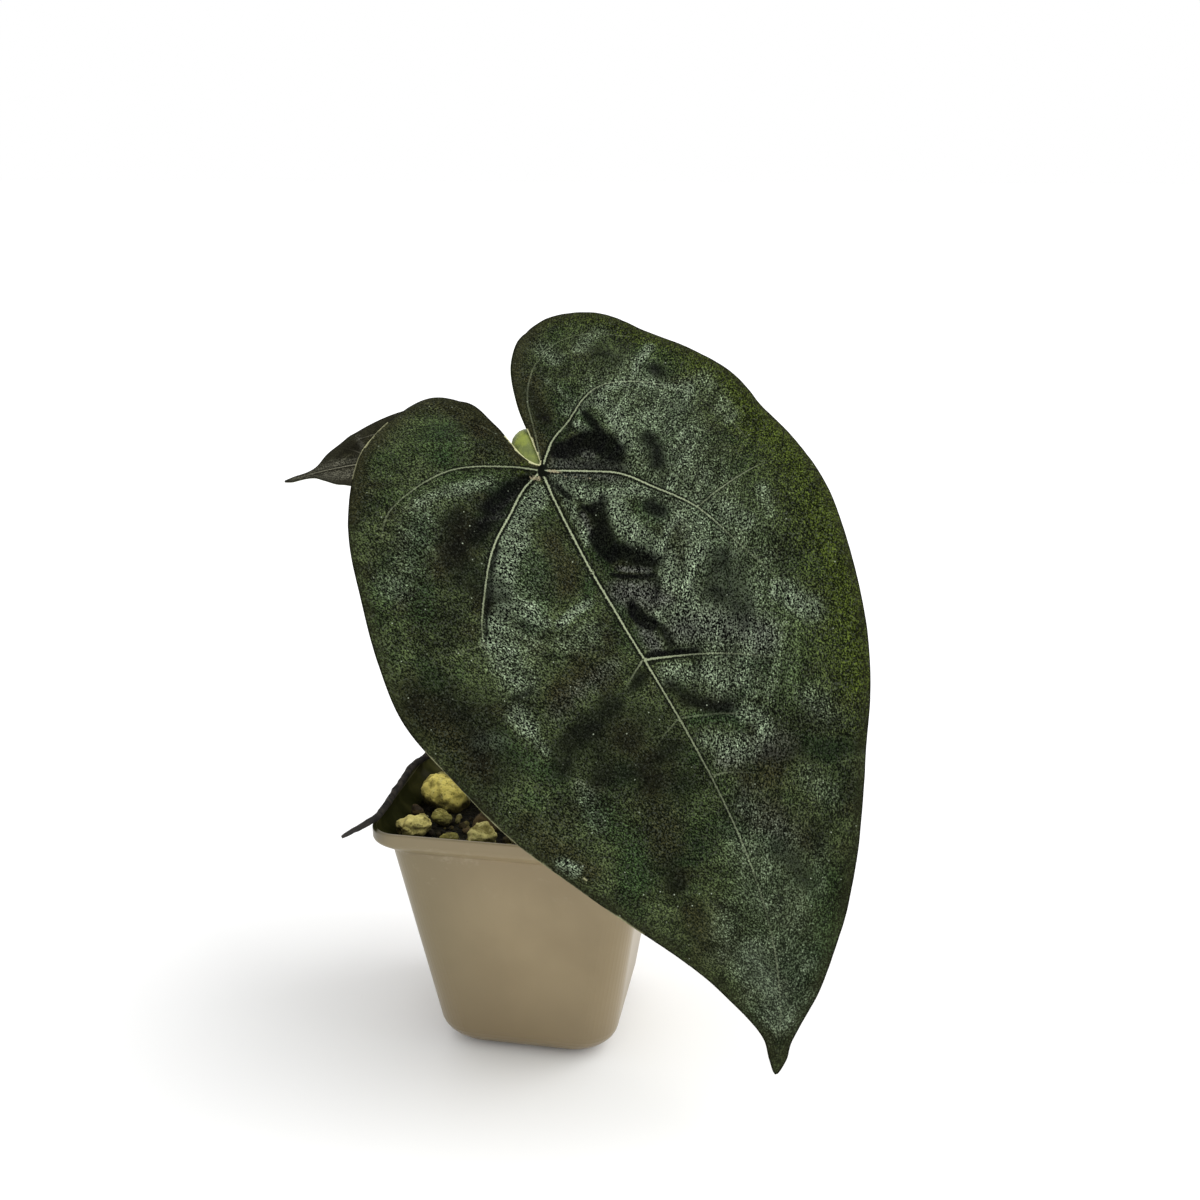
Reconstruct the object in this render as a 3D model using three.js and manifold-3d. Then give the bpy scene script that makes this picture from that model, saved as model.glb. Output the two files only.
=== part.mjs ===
// Potted ace of spades anthurium: a square nursery pot filled with loose pumice and bark, a short stem,
// one large pendant heart-shaped leaf and a smaller second leaf behind it.
// Millimetres, +Z up. The origin is the middle of the pot's underside and the pot's front faces -Y.
import * as THREE from "three";
import { mergeVertices } from "three/addons/utils/BufferGeometryUtils.js";
import Module from "manifold-3d";

const wasm = await Module();
wasm.setup();

// Driving dimensions of the pot
const POT_HEIGHT = 76;
const LIP_HALF_WIDTH = 40;
const LIP_DEPTH = 3;
const STEP_DEPTH = 5;
const BODY_TOP_HALF_WIDTH = 36;
const BODY_FOOT_HALF_WIDTH = 25.5;
const FOOT_FILLET = 8;
const LIP_CORNER = 8;
const BODY_CORNER = 9;
const FOOT_CORNER = 10.5;
const WALL = 1.2;
const FLOOR = 1.6;
const DRAIN_HOLE_RADIUS = 2.5;
const DRAIN_HOLE_REACH = 12.5;
const RIM_ROUND = 0.4;

// Driving dimensions of the potting mix
const SEAT = 0.3;
const MIX_TOP = 69;
const MIX_ROUGHNESS = 1.1;
const LUMP_COUNT = 34;
const LARGEST_LUMP = 7.4;
const SMALLEST_LUMP = 3;
const BARK_SHARE = 0.4;
const STEM_CLEARANCE = 2.4;
const ROOT_CLEARANCE = 2.4;

// Driving dimensions of the plant
const STEM_RADIUS = 6.5;
const STEM_FOOT = 46;
const STEM_TOP = 82;
const SHEATH_FOOT = 72;
const SHEATH_THICKNESS = 0.7;
const SHEATH_GAP = 0.75;
const ROOT_STEPS = 22;
const ROOT_SIDES = 8;
const STALK_RADIUS = 2.4;
const JOINT_RADIUS = 4;
const STALK_STEPS = 30;
const STALK_SIDES = 10;
const BLADE_SEAT = 0.4;
const VEIN_FOOT = 1.3;
const MAIN_BLADE_THICKNESS = 0.8;
const MAIN_BLADE_LENGTH = 169;
const SECOND_BLADE_THICKNESS = 0.8;
const SECOND_BLADE_LENGTH = 51;

const plant = new THREE.Group();

// A repeatable random number from 0 to 1
function seededRandom(seed) {
  let state = seed;
  return () => {
    state = (state + 0x6d2b79f5) | 0;
    let mixed = Math.imul(state ^ (state >>> 15), 1 | state);
    mixed = (mixed + Math.imul(mixed ^ (mixed >>> 7), 61 | mixed)) ^ mixed;
    return ((mixed ^ (mixed >>> 14)) >>> 0) / 4294967296;
  };
}

function addPiece(name, geometry, color, roughness) {
  const material = new THREE.MeshStandardMaterial({ color, roughness, metalness: 0 });
  const mesh = new THREE.Mesh(geometry, material);
  mesh.name = name;
  plant.add(mesh);
  return mesh;
}

// Solids for cutting and joining
function solidFrom(geometry) {
  const bare = new THREE.BufferGeometry();
  bare.setAttribute("position", geometry.getAttribute("position").clone());
  if (geometry.index) bare.setIndex(geometry.index.clone());
  const merged = mergeVertices(bare, 1e-4);
  const mesh = new wasm.Mesh({
    numProp: 3,
    vertProperties: new Float32Array(merged.attributes.position.array),
    triVerts: new Uint32Array(merged.index.array),
  });
  return new wasm.Manifold(mesh);
}

function geometryFrom(solid) {
  const mesh = solid.getMesh();
  const geometry = new THREE.BufferGeometry();
  geometry.setAttribute("position", new THREE.BufferAttribute(mesh.vertProperties, 3));
  geometry.setIndex(new THREE.BufferAttribute(mesh.triVerts, 1));
  return geometry;
}

function largestBody(solid) {
  const bodies = solid.decompose();
  bodies.sort((a, b) => b.volume() - a.volume());
  return bodies[0];
}

// A closed geometry from rings of points with the same count, capped at both ends
function loft(rings) {
  const count = rings[0].length;
  const positions = rings.flat().flatMap((p) => [p.x, p.y, p.z]);
  const index = [];
  for (let r = 0; r + 1 < rings.length; r++) {
    for (let i = 0; i < count; i++) {
      const a = r * count + i;
      const b = r * count + ((i + 1) % count);
      index.push(a, b, b + count, a, b + count, a + count);
    }
  }
  for (const [start, flip] of [[0, true], [(rings.length - 1) * count, false]]) {
    for (let i = 1; i + 1 < count; i++) {
      const [b, c] = flip ? [start + i + 1, start + i] : [start + i, start + i + 1];
      index.push(start, b, c);
    }
  }
  const geometry = new THREE.BufferGeometry();
  geometry.setAttribute("position", new THREE.Float32BufferAttribute(positions, 3));
  geometry.setIndex(index);
  return geometry;
}

// Square pot, lofted from rounded squares up the outside, over the lip and down the inside
function roundedSquare(halfWidth, corner, z, cornerSteps = 6) {
  const ring = [];
  for (let quarter = 0; quarter < 4; quarter++) {
    const middle = new THREE.Vector2(halfWidth - corner, halfWidth - corner);
    for (let i = 0; i <= cornerSteps; i++) {
      const angle = ((i / cornerSteps) * Math.PI) / 2;
      const p = new THREE.Vector2(corner * Math.cos(angle), corner * Math.sin(angle)).add(middle);
      p.rotateAround(new THREE.Vector2(), (quarter * Math.PI) / 2);
      ring.push(new THREE.Vector3(p.x, p.y, z));
    }
  }
  return ring;
}

// Half width and corner radius of the tapered body at a height
const BODY_TOP = POT_HEIGHT - LIP_DEPTH - STEP_DEPTH;
function bodyAt(z) {
  const t = z / BODY_TOP;
  return [
    THREE.MathUtils.lerp(BODY_FOOT_HALF_WIDTH, BODY_TOP_HALF_WIDTH, t),
    THREE.MathUtils.lerp(FOOT_CORNER, BODY_CORNER, t),
  ];
}

// Rows of [half width, corner, height] from the underside up to the lip, moved inwards by a wall
function potRows(inset, foot) {
  const rows = [];
  const fillet = FOOT_FILLET - inset;
  for (let i = 0; i <= 4; i++) {
    const angle = ((i / 4) * Math.PI) / 2;
    const z = foot + fillet * (1 - Math.cos(angle));
    const [halfWidth, corner] = bodyAt(z);
    rows.push([halfWidth - inset - fillet * (1 - Math.sin(angle)), corner - inset, z]);
  }
  for (const z of [24, 42, BODY_TOP - 3, BODY_TOP]) {
    const [halfWidth, corner] = bodyAt(z);
    rows.push([halfWidth - inset, corner - inset, z]);
  }
  const flare = LIP_HALF_WIDTH - BODY_TOP_HALF_WIDTH;
  const lift = inset > 0 ? WALL / 2 : 0;
  for (const t of [0.25, 0.5, 0.75, 1]) {
    const out = flare * (0.5 - 0.5 * Math.cos(t * Math.PI));
    const corner = THREE.MathUtils.lerp(BODY_CORNER, LIP_CORNER, t);
    rows.push([BODY_TOP_HALF_WIDTH + out - inset, corner - inset, BODY_TOP + STEP_DEPTH * t + lift]);
  }
  return rows;
}

function potGeometry() {
  const outside = potRows(0, 0);
  const top = [
    [LIP_HALF_WIDTH, LIP_CORNER, POT_HEIGHT - RIM_ROUND],
    [LIP_HALF_WIDTH - RIM_ROUND, LIP_CORNER - RIM_ROUND, POT_HEIGHT],
    [LIP_HALF_WIDTH - WALL + RIM_ROUND, LIP_CORNER - WALL + RIM_ROUND, POT_HEIGHT],
    [LIP_HALF_WIDTH - WALL, LIP_CORNER - WALL, POT_HEIGHT - RIM_ROUND],
  ];
  const inside = potRows(WALL, FLOOR).reverse();
  const rows = [...outside, ...top, ...inside];
  const rings = rows.map(([halfWidth, corner, z]) => roundedSquare(halfWidth, corner, z));
  let pot = solidFrom(loft(rings));
  for (const [sx, sy] of [[1, 1], [-1, 1], [-1, -1], [1, -1]]) {
    const hole = new THREE.CylinderGeometry(DRAIN_HOLE_RADIUS, DRAIN_HOLE_RADIUS, FLOOR * 4, 16);
    hole.rotateX(Math.PI / 2).translate(sx * DRAIN_HOLE_REACH, sy * DRAIN_HOLE_REACH, FLOOR / 2);
    pot = pot.subtract(solidFrom(hole));
  }
  return geometryFrom(pot);
}
addPiece("pot", potGeometry(), 0x9b8b6e, 0.6);

// A round rod along a smooth line; radii are given at the line's points and blended between them
function rod(points, radii, steps, sides, grow = 0) {
  const line = new THREE.CatmullRomCurve3(points, false, "centripetal");
  const frames = line.computeFrenetFrames(steps, false);
  const rings = [];
  for (let s = 0; s <= steps; s++) {
    const t = s / steps;
    const centre = line.getPointAt(t);
    const place = line.getUtoTmapping(t) * (points.length - 1);
    const before = Math.min(Math.floor(place), points.length - 2);
    const blend = THREE.MathUtils.smoothstep(place - before, 0, 1);
    const radius = THREE.MathUtils.lerp(radii[before], radii[before + 1], blend) + grow;
    if (s === 0) centre.addScaledVector(frames.tangents[0], -grow);
    if (s === steps) centre.addScaledVector(frames.tangents[steps], grow);
    const ring = [];
    for (let i = 0; i < sides; i++) {
      const angle = (i / sides) * 2 * Math.PI;
      const p = centre.clone();
      p.addScaledVector(frames.normals[s], radius * Math.cos(angle));
      p.addScaledVector(frames.binormals[s], radius * Math.sin(angle));
      ring.push(p);
    }
    rings.push(ring);
  }
  return loft(rings);
}

const points3 = (list) => list.map(([x, y, z]) => new THREE.Vector3(x, y, z));

// Stem: a short knobbly caudex, its leaf scars as rings
function stemGeometry(grow = 0) {
  const profile = [new THREE.Vector2(0, STEM_FOOT - grow)];
  const rings = 9;
  for (let i = 0; i <= rings; i++) {
    const t = i / rings;
    const taper = THREE.MathUtils.lerp(0.72, 1, Math.min(1, t * 1.6));
    const scar = i % 2 === 0 ? 0.35 : -0.25;
    const height = THREE.MathUtils.lerp(STEM_FOOT, STEM_TOP - 3, t);
    profile.push(new THREE.Vector2(STEM_RADIUS * taper + scar + grow, height));
  }
  profile[1].y -= grow;
  profile.push(new THREE.Vector2(STEM_RADIUS * 0.6 + grow, STEM_TOP - 0.8 + grow / 2));
  profile.push(new THREE.Vector2(0, STEM_TOP + grow));
  return new THREE.LatheGeometry(profile, 18).rotateX(Math.PI / 2);
}
const stem = solidFrom(stemGeometry());
const stemSeat = solidFrom(stemGeometry(SEAT));
addPiece("stem", geometryFrom(stem), 0x5b4a32, 0.85);

// Aerial roots: one dry one reaches over the pot's front left corner, two go down into the mix
const rootRoutes = {
  dry_root_over_corner: {
    points: [
      [-3, -1, 75], [-9, 1.5, 80], [-21, 9, 81.5], [-33.5, 11.5, 78.8], [-39, 4, 77.4], [-39.2, -14, 77.3],
      [-38.9, -33, 77.5], [-41.5, -38.8, 77.2], [-46, -41.5, 75],
    ],
    radii: [1.5, 1.3, 1.1, 1, 1, 1, 1, 0.8, 0.45],
  },
  aerial_root_right: {
    points: [[2, 1, 74], [9, 6, 80], [17, 12, 80.5], [23, 17, 75], [25, 19, 63], [24, 21, 52]],
    radii: [1.9, 1.7, 1.6, 1.5, 1.4, 1],
  },
  aerial_root_left: {
    points: [[-1, 2, 70], [-4, 10, 77.5], [-9, 18, 79], [-13, 24, 73], [-14, 26, 62], [-13, 26, 51]],
    radii: [1.8, 1.6, 1.5, 1.4, 1.3, 0.9],
  },
};
const rootLines = [];
const roots = {};
let rootSeats = null;
for (const [name, { points, radii }] of Object.entries(rootRoutes)) {
  const body = solidFrom(rod(points3(points), radii, ROOT_STEPS, ROOT_SIDES));
  const seat = solidFrom(rod(points3(points), radii, ROOT_STEPS, ROOT_SIDES, SEAT));
  rootLines.push(...new THREE.CatmullRomCurve3(points3(points), false, "centripetal").getSpacedPoints(30));
  roots[name] = largestBody(body.subtract(stemSeat));
  rootSeats = rootSeats ? rootSeats.add(seat) : seat;
}
addPiece("dry_root_over_corner", geometryFrom(roots.dry_root_over_corner), 0x2c2620, 0.9);
addPiece("aerial_root_right", geometryFrom(roots.aerial_root_right), 0x8a7a58, 0.85);
addPiece("aerial_root_left", geometryFrom(roots.aerial_root_left), 0x8a7a58, 0.85);

// Lumps of the mix: rounded icosahedra with flats broken off, packed so that their balls never touch
const lumpRandom = seededRandom(7);
function lumpGeometry(random, radius, stretch, grow = 0) {
  const geometry = new THREE.IcosahedronGeometry(1, 1);
  const flats = [];
  for (let i = 0; i < 9; i++) {
    const across = new THREE.Vector3(random() - 0.5, random() - 0.5, random() - 0.5).normalize();
    flats.push([across, 0.66 + 0.26 * random()]);
  }
  const turn = new THREE.Euler(random() * 0.6, random() * 0.6, random() * Math.PI);
  const position = geometry.getAttribute("position");
  const p = new THREE.Vector3();
  for (let i = 0; i < position.count; i++) {
    p.fromBufferAttribute(position, i).normalize();
    let reach = 1;
    for (const [across, depth] of flats) {
      const along = p.dot(across);
      if (along > depth) reach = Math.min(reach, depth / along);
    }
    p.multiplyScalar(reach).multiply(stretch).applyEuler(turn);
    p.multiplyScalar(radius).addScaledVector(p.clone().normalize(), grow);
    position.setXYZ(i, p.x, p.y, p.z);
  }
  return geometry;
}

// The lumps that show past the leaf are placed as in the pot, the others by seeded throws
const lumps = [
  { x: -27.6, y: -3.2, z: 71.4, radius: 8.6, stretch: [1, 0.9, 0.8], kind: "pumice" },
  { x: -30.4, y: -26.6, z: 71.8, radius: 6.2, stretch: [0.7, 1, 0.62], kind: "pumice" },
  { x: -24.8, y: -17.4, z: 71.2, radius: 3.8, stretch: [1, 0.8, 0.6], kind: "pumice" },
  { x: -9.3, y: -29.4, z: 71.6, radius: 5.6, stretch: [1, 0.9, 0.85], kind: "pumice" },
  { x: -32.4, y: -15.8, z: 71, radius: 3.4, stretch: [0.6, 1, 0.9], kind: "bark" },
  { x: -31.6, y: 8.6, z: 70.6, radius: 3.6, stretch: [1, 0.9, 0.9], kind: "pumice" },
];

function clearOfPlant(x, y, radius) {
  if (Math.hypot(x, y) < STEM_RADIUS + STEM_CLEARANCE + radius) return false;
  const room = radius + ROOT_CLEARANCE;
  return rootLines.every((p) => p.z > POT_HEIGHT + 2 || Math.hypot(x - p.x, y - p.y) > room);
}

function throwLumps() {
  const inner = BODY_TOP_HALF_WIDTH - WALL - 1;
  for (let n = 0, tries = 0; lumps.length < LUMP_COUNT && tries < 20000; tries++) {
    const radius = THREE.MathUtils.lerp(LARGEST_LUMP, SMALLEST_LUMP, n / LUMP_COUNT);
    const x = (lumpRandom() * 2 - 1) * (inner - radius);
    const y = (lumpRandom() * 2 - 1) * (inner - radius);
    const apart = lumps.every((o) => Math.hypot(x - o.x, y - o.y) > radius + o.radius + SEAT);
    if (!apart || !clearOfPlant(x, y, radius)) {
      if (tries % 500 === 499) n++;
      continue;
    }
    const kind = lumpRandom() < BARK_SHARE ? "bark" : "pumice";
    const stretch = kind === "bark" ? [1, 0.72, 0.5] : [1, 0.88, 0.8];
    const z = MIX_TOP - 0.4 + radius * stretch[2] * (0.15 + 0.3 * lumpRandom());
    lumps.push({ x, y, z, radius, stretch, kind });
    n++;
  }
}
throwLumps();

let lumpSeats = null;
const lumpColors = { pumice: [0x8f8850, 0x857f4a, 0x9a9364, 0x7e7a56], bark: [0x3a2f22, 0x46382a] };
const lumpTally = { pumice: 0, bark: 0 };
lumps.forEach((lump, i) => {
  const stretch = new THREE.Vector3(...lump.stretch);
  const body = lumpGeometry(seededRandom(100 + i), lump.radius - SEAT, stretch);
  const seat = lumpGeometry(seededRandom(100 + i), lump.radius - SEAT, stretch, SEAT);
  for (const geometry of [body, seat]) geometry.translate(lump.x, lump.y, lump.z);
  lumpSeats = lumpSeats ? lumpSeats.add(solidFrom(seat)) : solidFrom(seat);
  lumpTally[lump.kind] += 1;
  const colors = lumpColors[lump.kind];
  const name = `${lump.kind}_lump_${lumpTally[lump.kind]}`;
  addPiece(name, geometryFrom(solidFrom(body)), colors[i % colors.length], 0.95);
});

// The mix below the lumps fills the pot up to an uneven top, with holes for the stem and roots
function mixGeometry() {
  const rings = potRows(WALL + SEAT, FLOOR + SEAT)
    .filter(([, , z]) => z < MIX_TOP - 4)
    .map(([halfWidth, corner, z]) => roundedSquare(halfWidth, corner, z, 4));
  const [topHalfWidth, topCorner] = bodyAt(MIX_TOP - 1);
  const edge = roundedSquare(topHalfWidth - WALL - SEAT, topCorner - WALL - SEAT, MIX_TOP - 1, 4);
  rings.push(edge);
  const crumb = seededRandom(5);
  for (const reach of [0.92, 0.8, 0.68, 0.56, 0.44, 0.32, 0.18, 0.04]) {
    const height = () => MIX_TOP + MIX_ROUGHNESS * (2 * crumb() - 1);
    rings.push(edge.map((p) => new THREE.Vector3(p.x * reach, p.y * reach, height())));
  }
  return loft(rings);
}
const mixBody = solidFrom(mixGeometry()).subtract(lumpSeats).subtract(rootSeats).subtract(stemSeat);
addPiece("potting_mix", geometryFrom(largestBody(mixBody)), 0x2a241a, 0.95);

// Leaf surfaces. A blade is drawn flat: u runs across to the viewer's right, v from the stalk to the tip.
// Its midrib is a cubic curve, its facing turns from the base to the tip, and lift(u, v) moves it off
// that ruled sheet towards its upper face.
function bladeSurface({ midrib, length, azimuth, elevations, lift }) {
  const curve = new THREE.CubicBezierCurve3(...points3(midrib));
  function frameAt(v) {
    const t = THREE.MathUtils.clamp(v / length, 0, 1);
    const along = curve.getTangent(t);
    const elevation = THREE.MathUtils.degToRad(THREE.MathUtils.lerp(elevations[0], elevations[1], t));
    const turn = THREE.MathUtils.degToRad(azimuth);
    const facing = new THREE.Vector3(
      Math.sin(turn) * Math.cos(elevation),
      -Math.cos(turn) * Math.cos(elevation),
      Math.sin(elevation),
    );
    facing.addScaledVector(along, -facing.dot(along)).normalize();
    const across = new THREE.Vector3().crossVectors(facing, along);
    const spine = curve.getPoint(t).addScaledVector(along, Math.min(v, 0) + Math.max(v - length, 0));
    return { spine, along, facing, across };
  }
  function place(u, v) {
    const { spine, facing, across } = frameAt(v);
    return spine.addScaledVector(across, u).addScaledVector(facing, lift(u, v));
  }
  function normal(u, v) {
    const step = 0.05;
    const du = place(u + step, v).sub(place(u - step, v));
    const dv = place(u, v + step).sub(place(u, v - step));
    return du.cross(dv).normalize().negate();
  }
  return { place, normal };
}

function smoothLine(points, closed, spacing) {
  const flat = points3(points.map(([u, v]) => [u, v, 0]));
  const line = new THREE.CatmullRomCurve3(flat, closed, "centripetal");
  const pieces = Math.max(2, Math.round(line.getLength() / spacing));
  const sampled = line.getSpacedPoints(pieces).map((p) => [p.x, p.y]);
  if (closed) sampled.pop();
  return sampled;
}

function distanceToLine([u, v], line) {
  let best = Infinity;
  for (let i = 0; i + 1 < line.length; i++) {
    const [au, av] = line[i];
    const [bu, bv] = line[i + 1];
    const [du, dv] = [bu - au, bv - av];
    const t = THREE.MathUtils.clamp(((u - au) * du + (v - av) * dv) / (du * du + dv * dv), 0, 1);
    best = Math.min(best, Math.hypot(u - au - t * du, v - av - t * dv));
  }
  return best;
}

function isInside([u, v], loop) {
  let inside = false;
  for (let i = 0, j = loop.length - 1; i < loop.length; j = i++) {
    const [[au, av], [bu, bv]] = [loop[i], loop[j]];
    if (av > v !== bv > v && u < ((bu - au) * (v - av)) / (bv - av) + au) inside = !inside;
  }
  return inside;
}

// Delaunay triangles of flat points, by adding them one at a time
function delaunay(points) {
  const far = 5000;
  const all = [...points, [-far, -far], [far, -far], [0, far]];
  const n = points.length;
  function ringed(a, b, c) {
    const [[ax, ay], [bx, by], [cx, cy]] = [all[a], all[b], all[c]];
    const d = 2 * (ax * (by - cy) + bx * (cy - ay) + cx * (ay - by));
    const [a2, b2, c2] = [ax * ax + ay * ay, bx * bx + by * by, cx * cx + cy * cy];
    const x = (a2 * (by - cy) + b2 * (cy - ay) + c2 * (ay - by)) / d;
    const y = (a2 * (cx - bx) + b2 * (ax - cx) + c2 * (bx - ax)) / d;
    const corners = d > 0 ? [a, b, c] : [a, c, b];
    return { corners, x, y, reach: (ax - x) ** 2 + (ay - y) ** 2 };
  }
  let triangles = [ringed(n, n + 1, n + 2)];
  for (let i = 0; i < n; i++) {
    const [x, y] = all[i];
    const border = new Map();
    triangles = triangles.filter((t) => {
      if ((x - t.x) ** 2 + (y - t.y) ** 2 >= t.reach) return true;
      for (let k = 0; k < 3; k++) {
        const [a, b] = [t.corners[k], t.corners[(k + 1) % 3]];
        if (!border.delete(`${b},${a}`)) border.set(`${a},${b}`, [a, b]);
      }
      return false;
    });
    for (const [a, b] of border.values()) triangles.push(ringed(a, b, i));
  }
  return triangles.map((t) => t.corners).filter((corners) => corners.every((c) => c < n));
}

// A flat heart of triangles: margin first, then vein ridges with their feet, then a loose filling
function bladeNet({ outline, marginStep, fillStep, veins }) {
  const random = seededRandom(11);
  let margin = [];
  for (const [u, v] of smoothLine(outline, true, 0.5)) {
    const last = margin[margin.length - 1];
    const step = Math.min(marginStep, 1 + 0.12 * Math.hypot(u, v));
    if (!last || Math.hypot(u - last[0], v - last[1]) >= step) margin.push([u, v]);
  }
  for (let round = 0; round < 6; round++) {
    const points = margin.map(([u, v]) => ({ at: [u, v], rise: 0 }));
    const addPoint = (at, rise, apart) => {
      if (!isInside(at, margin)) return;
      const clear = points.every((p) => Math.hypot(p.at[0] - at[0], p.at[1] - at[1]) > apart);
      if (clear) points.push({ at, rise });
    };
    for (const { line, height } of veins) {
      line.forEach((at, i) => addPoint(at, height * (1 - (0.6 * i) / line.length), 1.1));
    }
    for (const { line, foot } of veins) {
      for (let i = 0; i + 1 < line.length; i++) {
        const [[au, av], [bu, bv]] = [line[i], line[i + 1]];
        const length = Math.hypot(bu - au, bv - av);
        for (const side of [-foot, foot]) {
          const [su, sv] = [(side * (bv - av)) / length, (side * (bu - au)) / length];
          addPoint([(au + bu) / 2 - su, (av + bv) / 2 + sv], 0, 1.05);
        }
      }
    }
    const [us, vs] = [margin.map((p) => p[0]), margin.map((p) => p[1])];
    for (let v = Math.min(...vs), row = 0; v < Math.max(...vs); v += fillStep * 0.87, row++) {
      for (let u = Math.min(...us) + (row % 2) * fillStep * 0.5; u < Math.max(...us); u += fillStep) {
        addPoint([u + random() * 0.6, v + random() * 0.6], 0, fillStep * 0.55);
      }
    }
    const flat = points.map((p) => p.at);
    const triangles = delaunay(flat).filter((corners) => {
      const middle = [0, 1].map((k) => corners.reduce((sum, c) => sum + flat[c][k], 0) / 3);
      return isInside(middle, margin);
    });
    const edges = new Set();
    for (const [a, b, c] of triangles) for (const [s, e] of [[a, b], [b, c], [c, a]]) edges.add(`${s},${e}`);
    const missing = margin.map((_, i) => {
      const j = (i + 1) % margin.length;
      return edges.has(`${i},${j}`) || edges.has(`${j},${i}`) ? null : i;
    });
    if (missing.every((m) => m === null)) {
      const turning = margin.reduce((sum, [u, v], i) => {
        const [nu, nv] = margin[(i + 1) % margin.length];
        return sum + u * nv - nu * v;
      }, 0);
      return { points, triangles, rim: margin.length, turning };
    }
    margin = margin.flatMap(([u, v], i) => {
      const [nu, nv] = margin[(i + 1) % margin.length];
      return missing[i] === null ? [[u, v]] : [[u, v], [(u + nu) / 2, (v + nv) / 2]];
    });
  }
  throw new Error("the margin doesn't close");
}

// A margin point of a net moved outwards along the flat sheet
function pushedOut(net, i, distance) {
  const [bu, bv] = net.points[(i + net.rim - 1) % net.rim].at;
  const [u, v] = net.points[i].at;
  const [nu, nv] = net.points[(i + 1) % net.rim].at;
  const length = Math.hypot(nu - bu, nv - bv);
  const outwards = net.turning > 0 ? 1 : -1;
  return [u + (outwards * distance * (nv - bv)) / length, v - (outwards * distance * (nu - bu)) / length];
}

// The two faces of a blade from one net, joined along the margin; grow makes it thicker and wider all round
function bladeGeometry(net, surface, thickness, grow = 0) {
  const upper = [];
  const lower = [];
  net.points.forEach(({ at, rise }, i) => {
    const [u, v] = i < net.rim ? pushedOut(net, i, grow) : at;
    const base = surface.place(u, v);
    const normal = surface.normal(u, v);
    upper.push(base.clone().addScaledVector(normal, thickness / 2 + rise * 0.4 + grow));
    lower.push(base.clone().addScaledVector(normal, -thickness / 2 - rise - grow));
  });
  const count = net.points.length;
  const index = [];
  for (const [a, b, c] of net.triangles) index.push(a, c, b, a + count, b + count, c + count);
  for (let i = 0; i < net.rim; i++) {
    const j = (i + 1) % net.rim;
    const [a, b] = net.turning > 0 ? [i, j] : [j, i];
    index.push(a, b, b + count, a, b + count, a + count);
  }
  const geometry = new THREE.BufferGeometry();
  const positions = [...upper, ...lower].flatMap((p) => [p.x, p.y, p.z]);
  geometry.setAttribute("position", new THREE.Float32BufferAttribute(positions, 3));
  geometry.setIndex(index);
  return geometry;
}

// Main blade: outline and veins on the flat sheet
const mainOutline = [
  [0.2, -1.5], [0.6, -8], [0.6, -20], [3.5, -33], [13, -45.5], [23.5, -48.5], [34.5, -44.5], [45.5, -29.5],
  [58.5, -9],
  [62.3, 3.5], [66, 20], [65, 42], [59.5, 63], [46, 88.5], [36.5, 102.5], [25, 121], [11, 146], [3, 162],
  [1.3, 168.5], [0.2, 171.4], [-1, 168.6], [-4, 161], [-14, 147.3], [-31.4, 120.5], [-42.2, 99.8], [-51, 79],
  [-56, 60], [-59.8, 42], [-58.5, 29], [-55.5, 15], [-52.5, 2], [-43.2, -19], [-30.8, -31], [-19, -36],
  [-11.2, -30], [-6.4, -17], [-2.6, -4.5],
];
const mainPrimaries = [
  [[0, 0.6], [0, 55], [0, 110], [0, 165]],
  [[0, 0.6], [10.4, 4.6], [18.8, 9.8], [25.1, 18], [32, 28.6], [36.5, 44], [41, 60.6], [44, 75]],
  [
    [0, 0.6], [5.6, -6.9], [12, -11.5], [19.1, -17.2], [24.5, -19], [33.7, -16.5], [41, -11.5], [48.7, -2.6],
    [53, 9.6], [54.5, 24],
  ],
  [[1, -3], [2.4, -12], [3.8, -21], [7, -28], [12.2, -34.5], [18.5, -38.5], [28, -38.5], [38, -33]],
  [
    [0, 0.6], [-6.3, 4.1], [-12.2, 9.3], [-20, 15.9], [-27.3, 25.3], [-32.7, 34], [-34.5, 50], [-36, 65],
    [-35, 78], [-30, 92],
  ],
  [[0, 0.6], [-7.7, -3.7], [-15.3, -6.3], [-23.3, -7.1], [-34, -4], [-43, 2], [-47, 12], [-49, 24]],
  [[-1.6, -4], [-5.5, -11], [-10, -19], [-15.5, -25], [-23, -26.5], [-32, -21], [-40, -12]],
];
const mainLaterals = [
  [[0, 31], [9, 36.5], [18, 43], [27, 52]],
  [[0, 57.5], [8, 60.7], [15.6, 64.4], [23, 69], [31, 75], [38, 82]],
  [[0, 74], [11, 78.7], [22, 86], [31, 95]],
  [[0, 90], [6, 92], [13, 97], [22, 107]],
  [[0, 109], [8, 113], [16, 121]],
  [[0, 127], [6, 131], [10, 137]],
  [[0, 31], [-9, 36], [-19, 42], [-29, 47]],
  [[0, 57], [-6, 60], [-16, 66], [-29, 72]],
  [[0, 74], [-7, 76.5], [-16, 83], [-28, 92]],
  [[0, 91.5], [-7, 95], [-15, 102], [-24, 111]],
  [[0, 110], [-8, 114], [-17, 122]],
  [[0, 128], [-6, 132], [-10, 138]],
  [[32, 29], [40, 27], [52, 25.3], [59, 26]],
  [[37.5, 48], [44, 54], [51, 58]],
  [[-33, 36], [-42, 42], [-52, 46]],
  [[-35.5, 60], [-43, 66], [-49, 70]],
  [[-24, -7], [-31, -14], [-35, -22]],
];
function veinList(primaries, laterals, heights) {
  return [
    ...primaries.map((points, i) => ({
      line: smoothLine(points, false, 4),
      height: i === 0 ? heights.midrib : heights.primary,
      foot: VEIN_FOOT,
    })),
    ...laterals.map((points) => ({
      line: smoothLine(points, false, 5),
      height: heights.lateral,
      foot: VEIN_FOOT,
    })),
  ];
}
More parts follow.
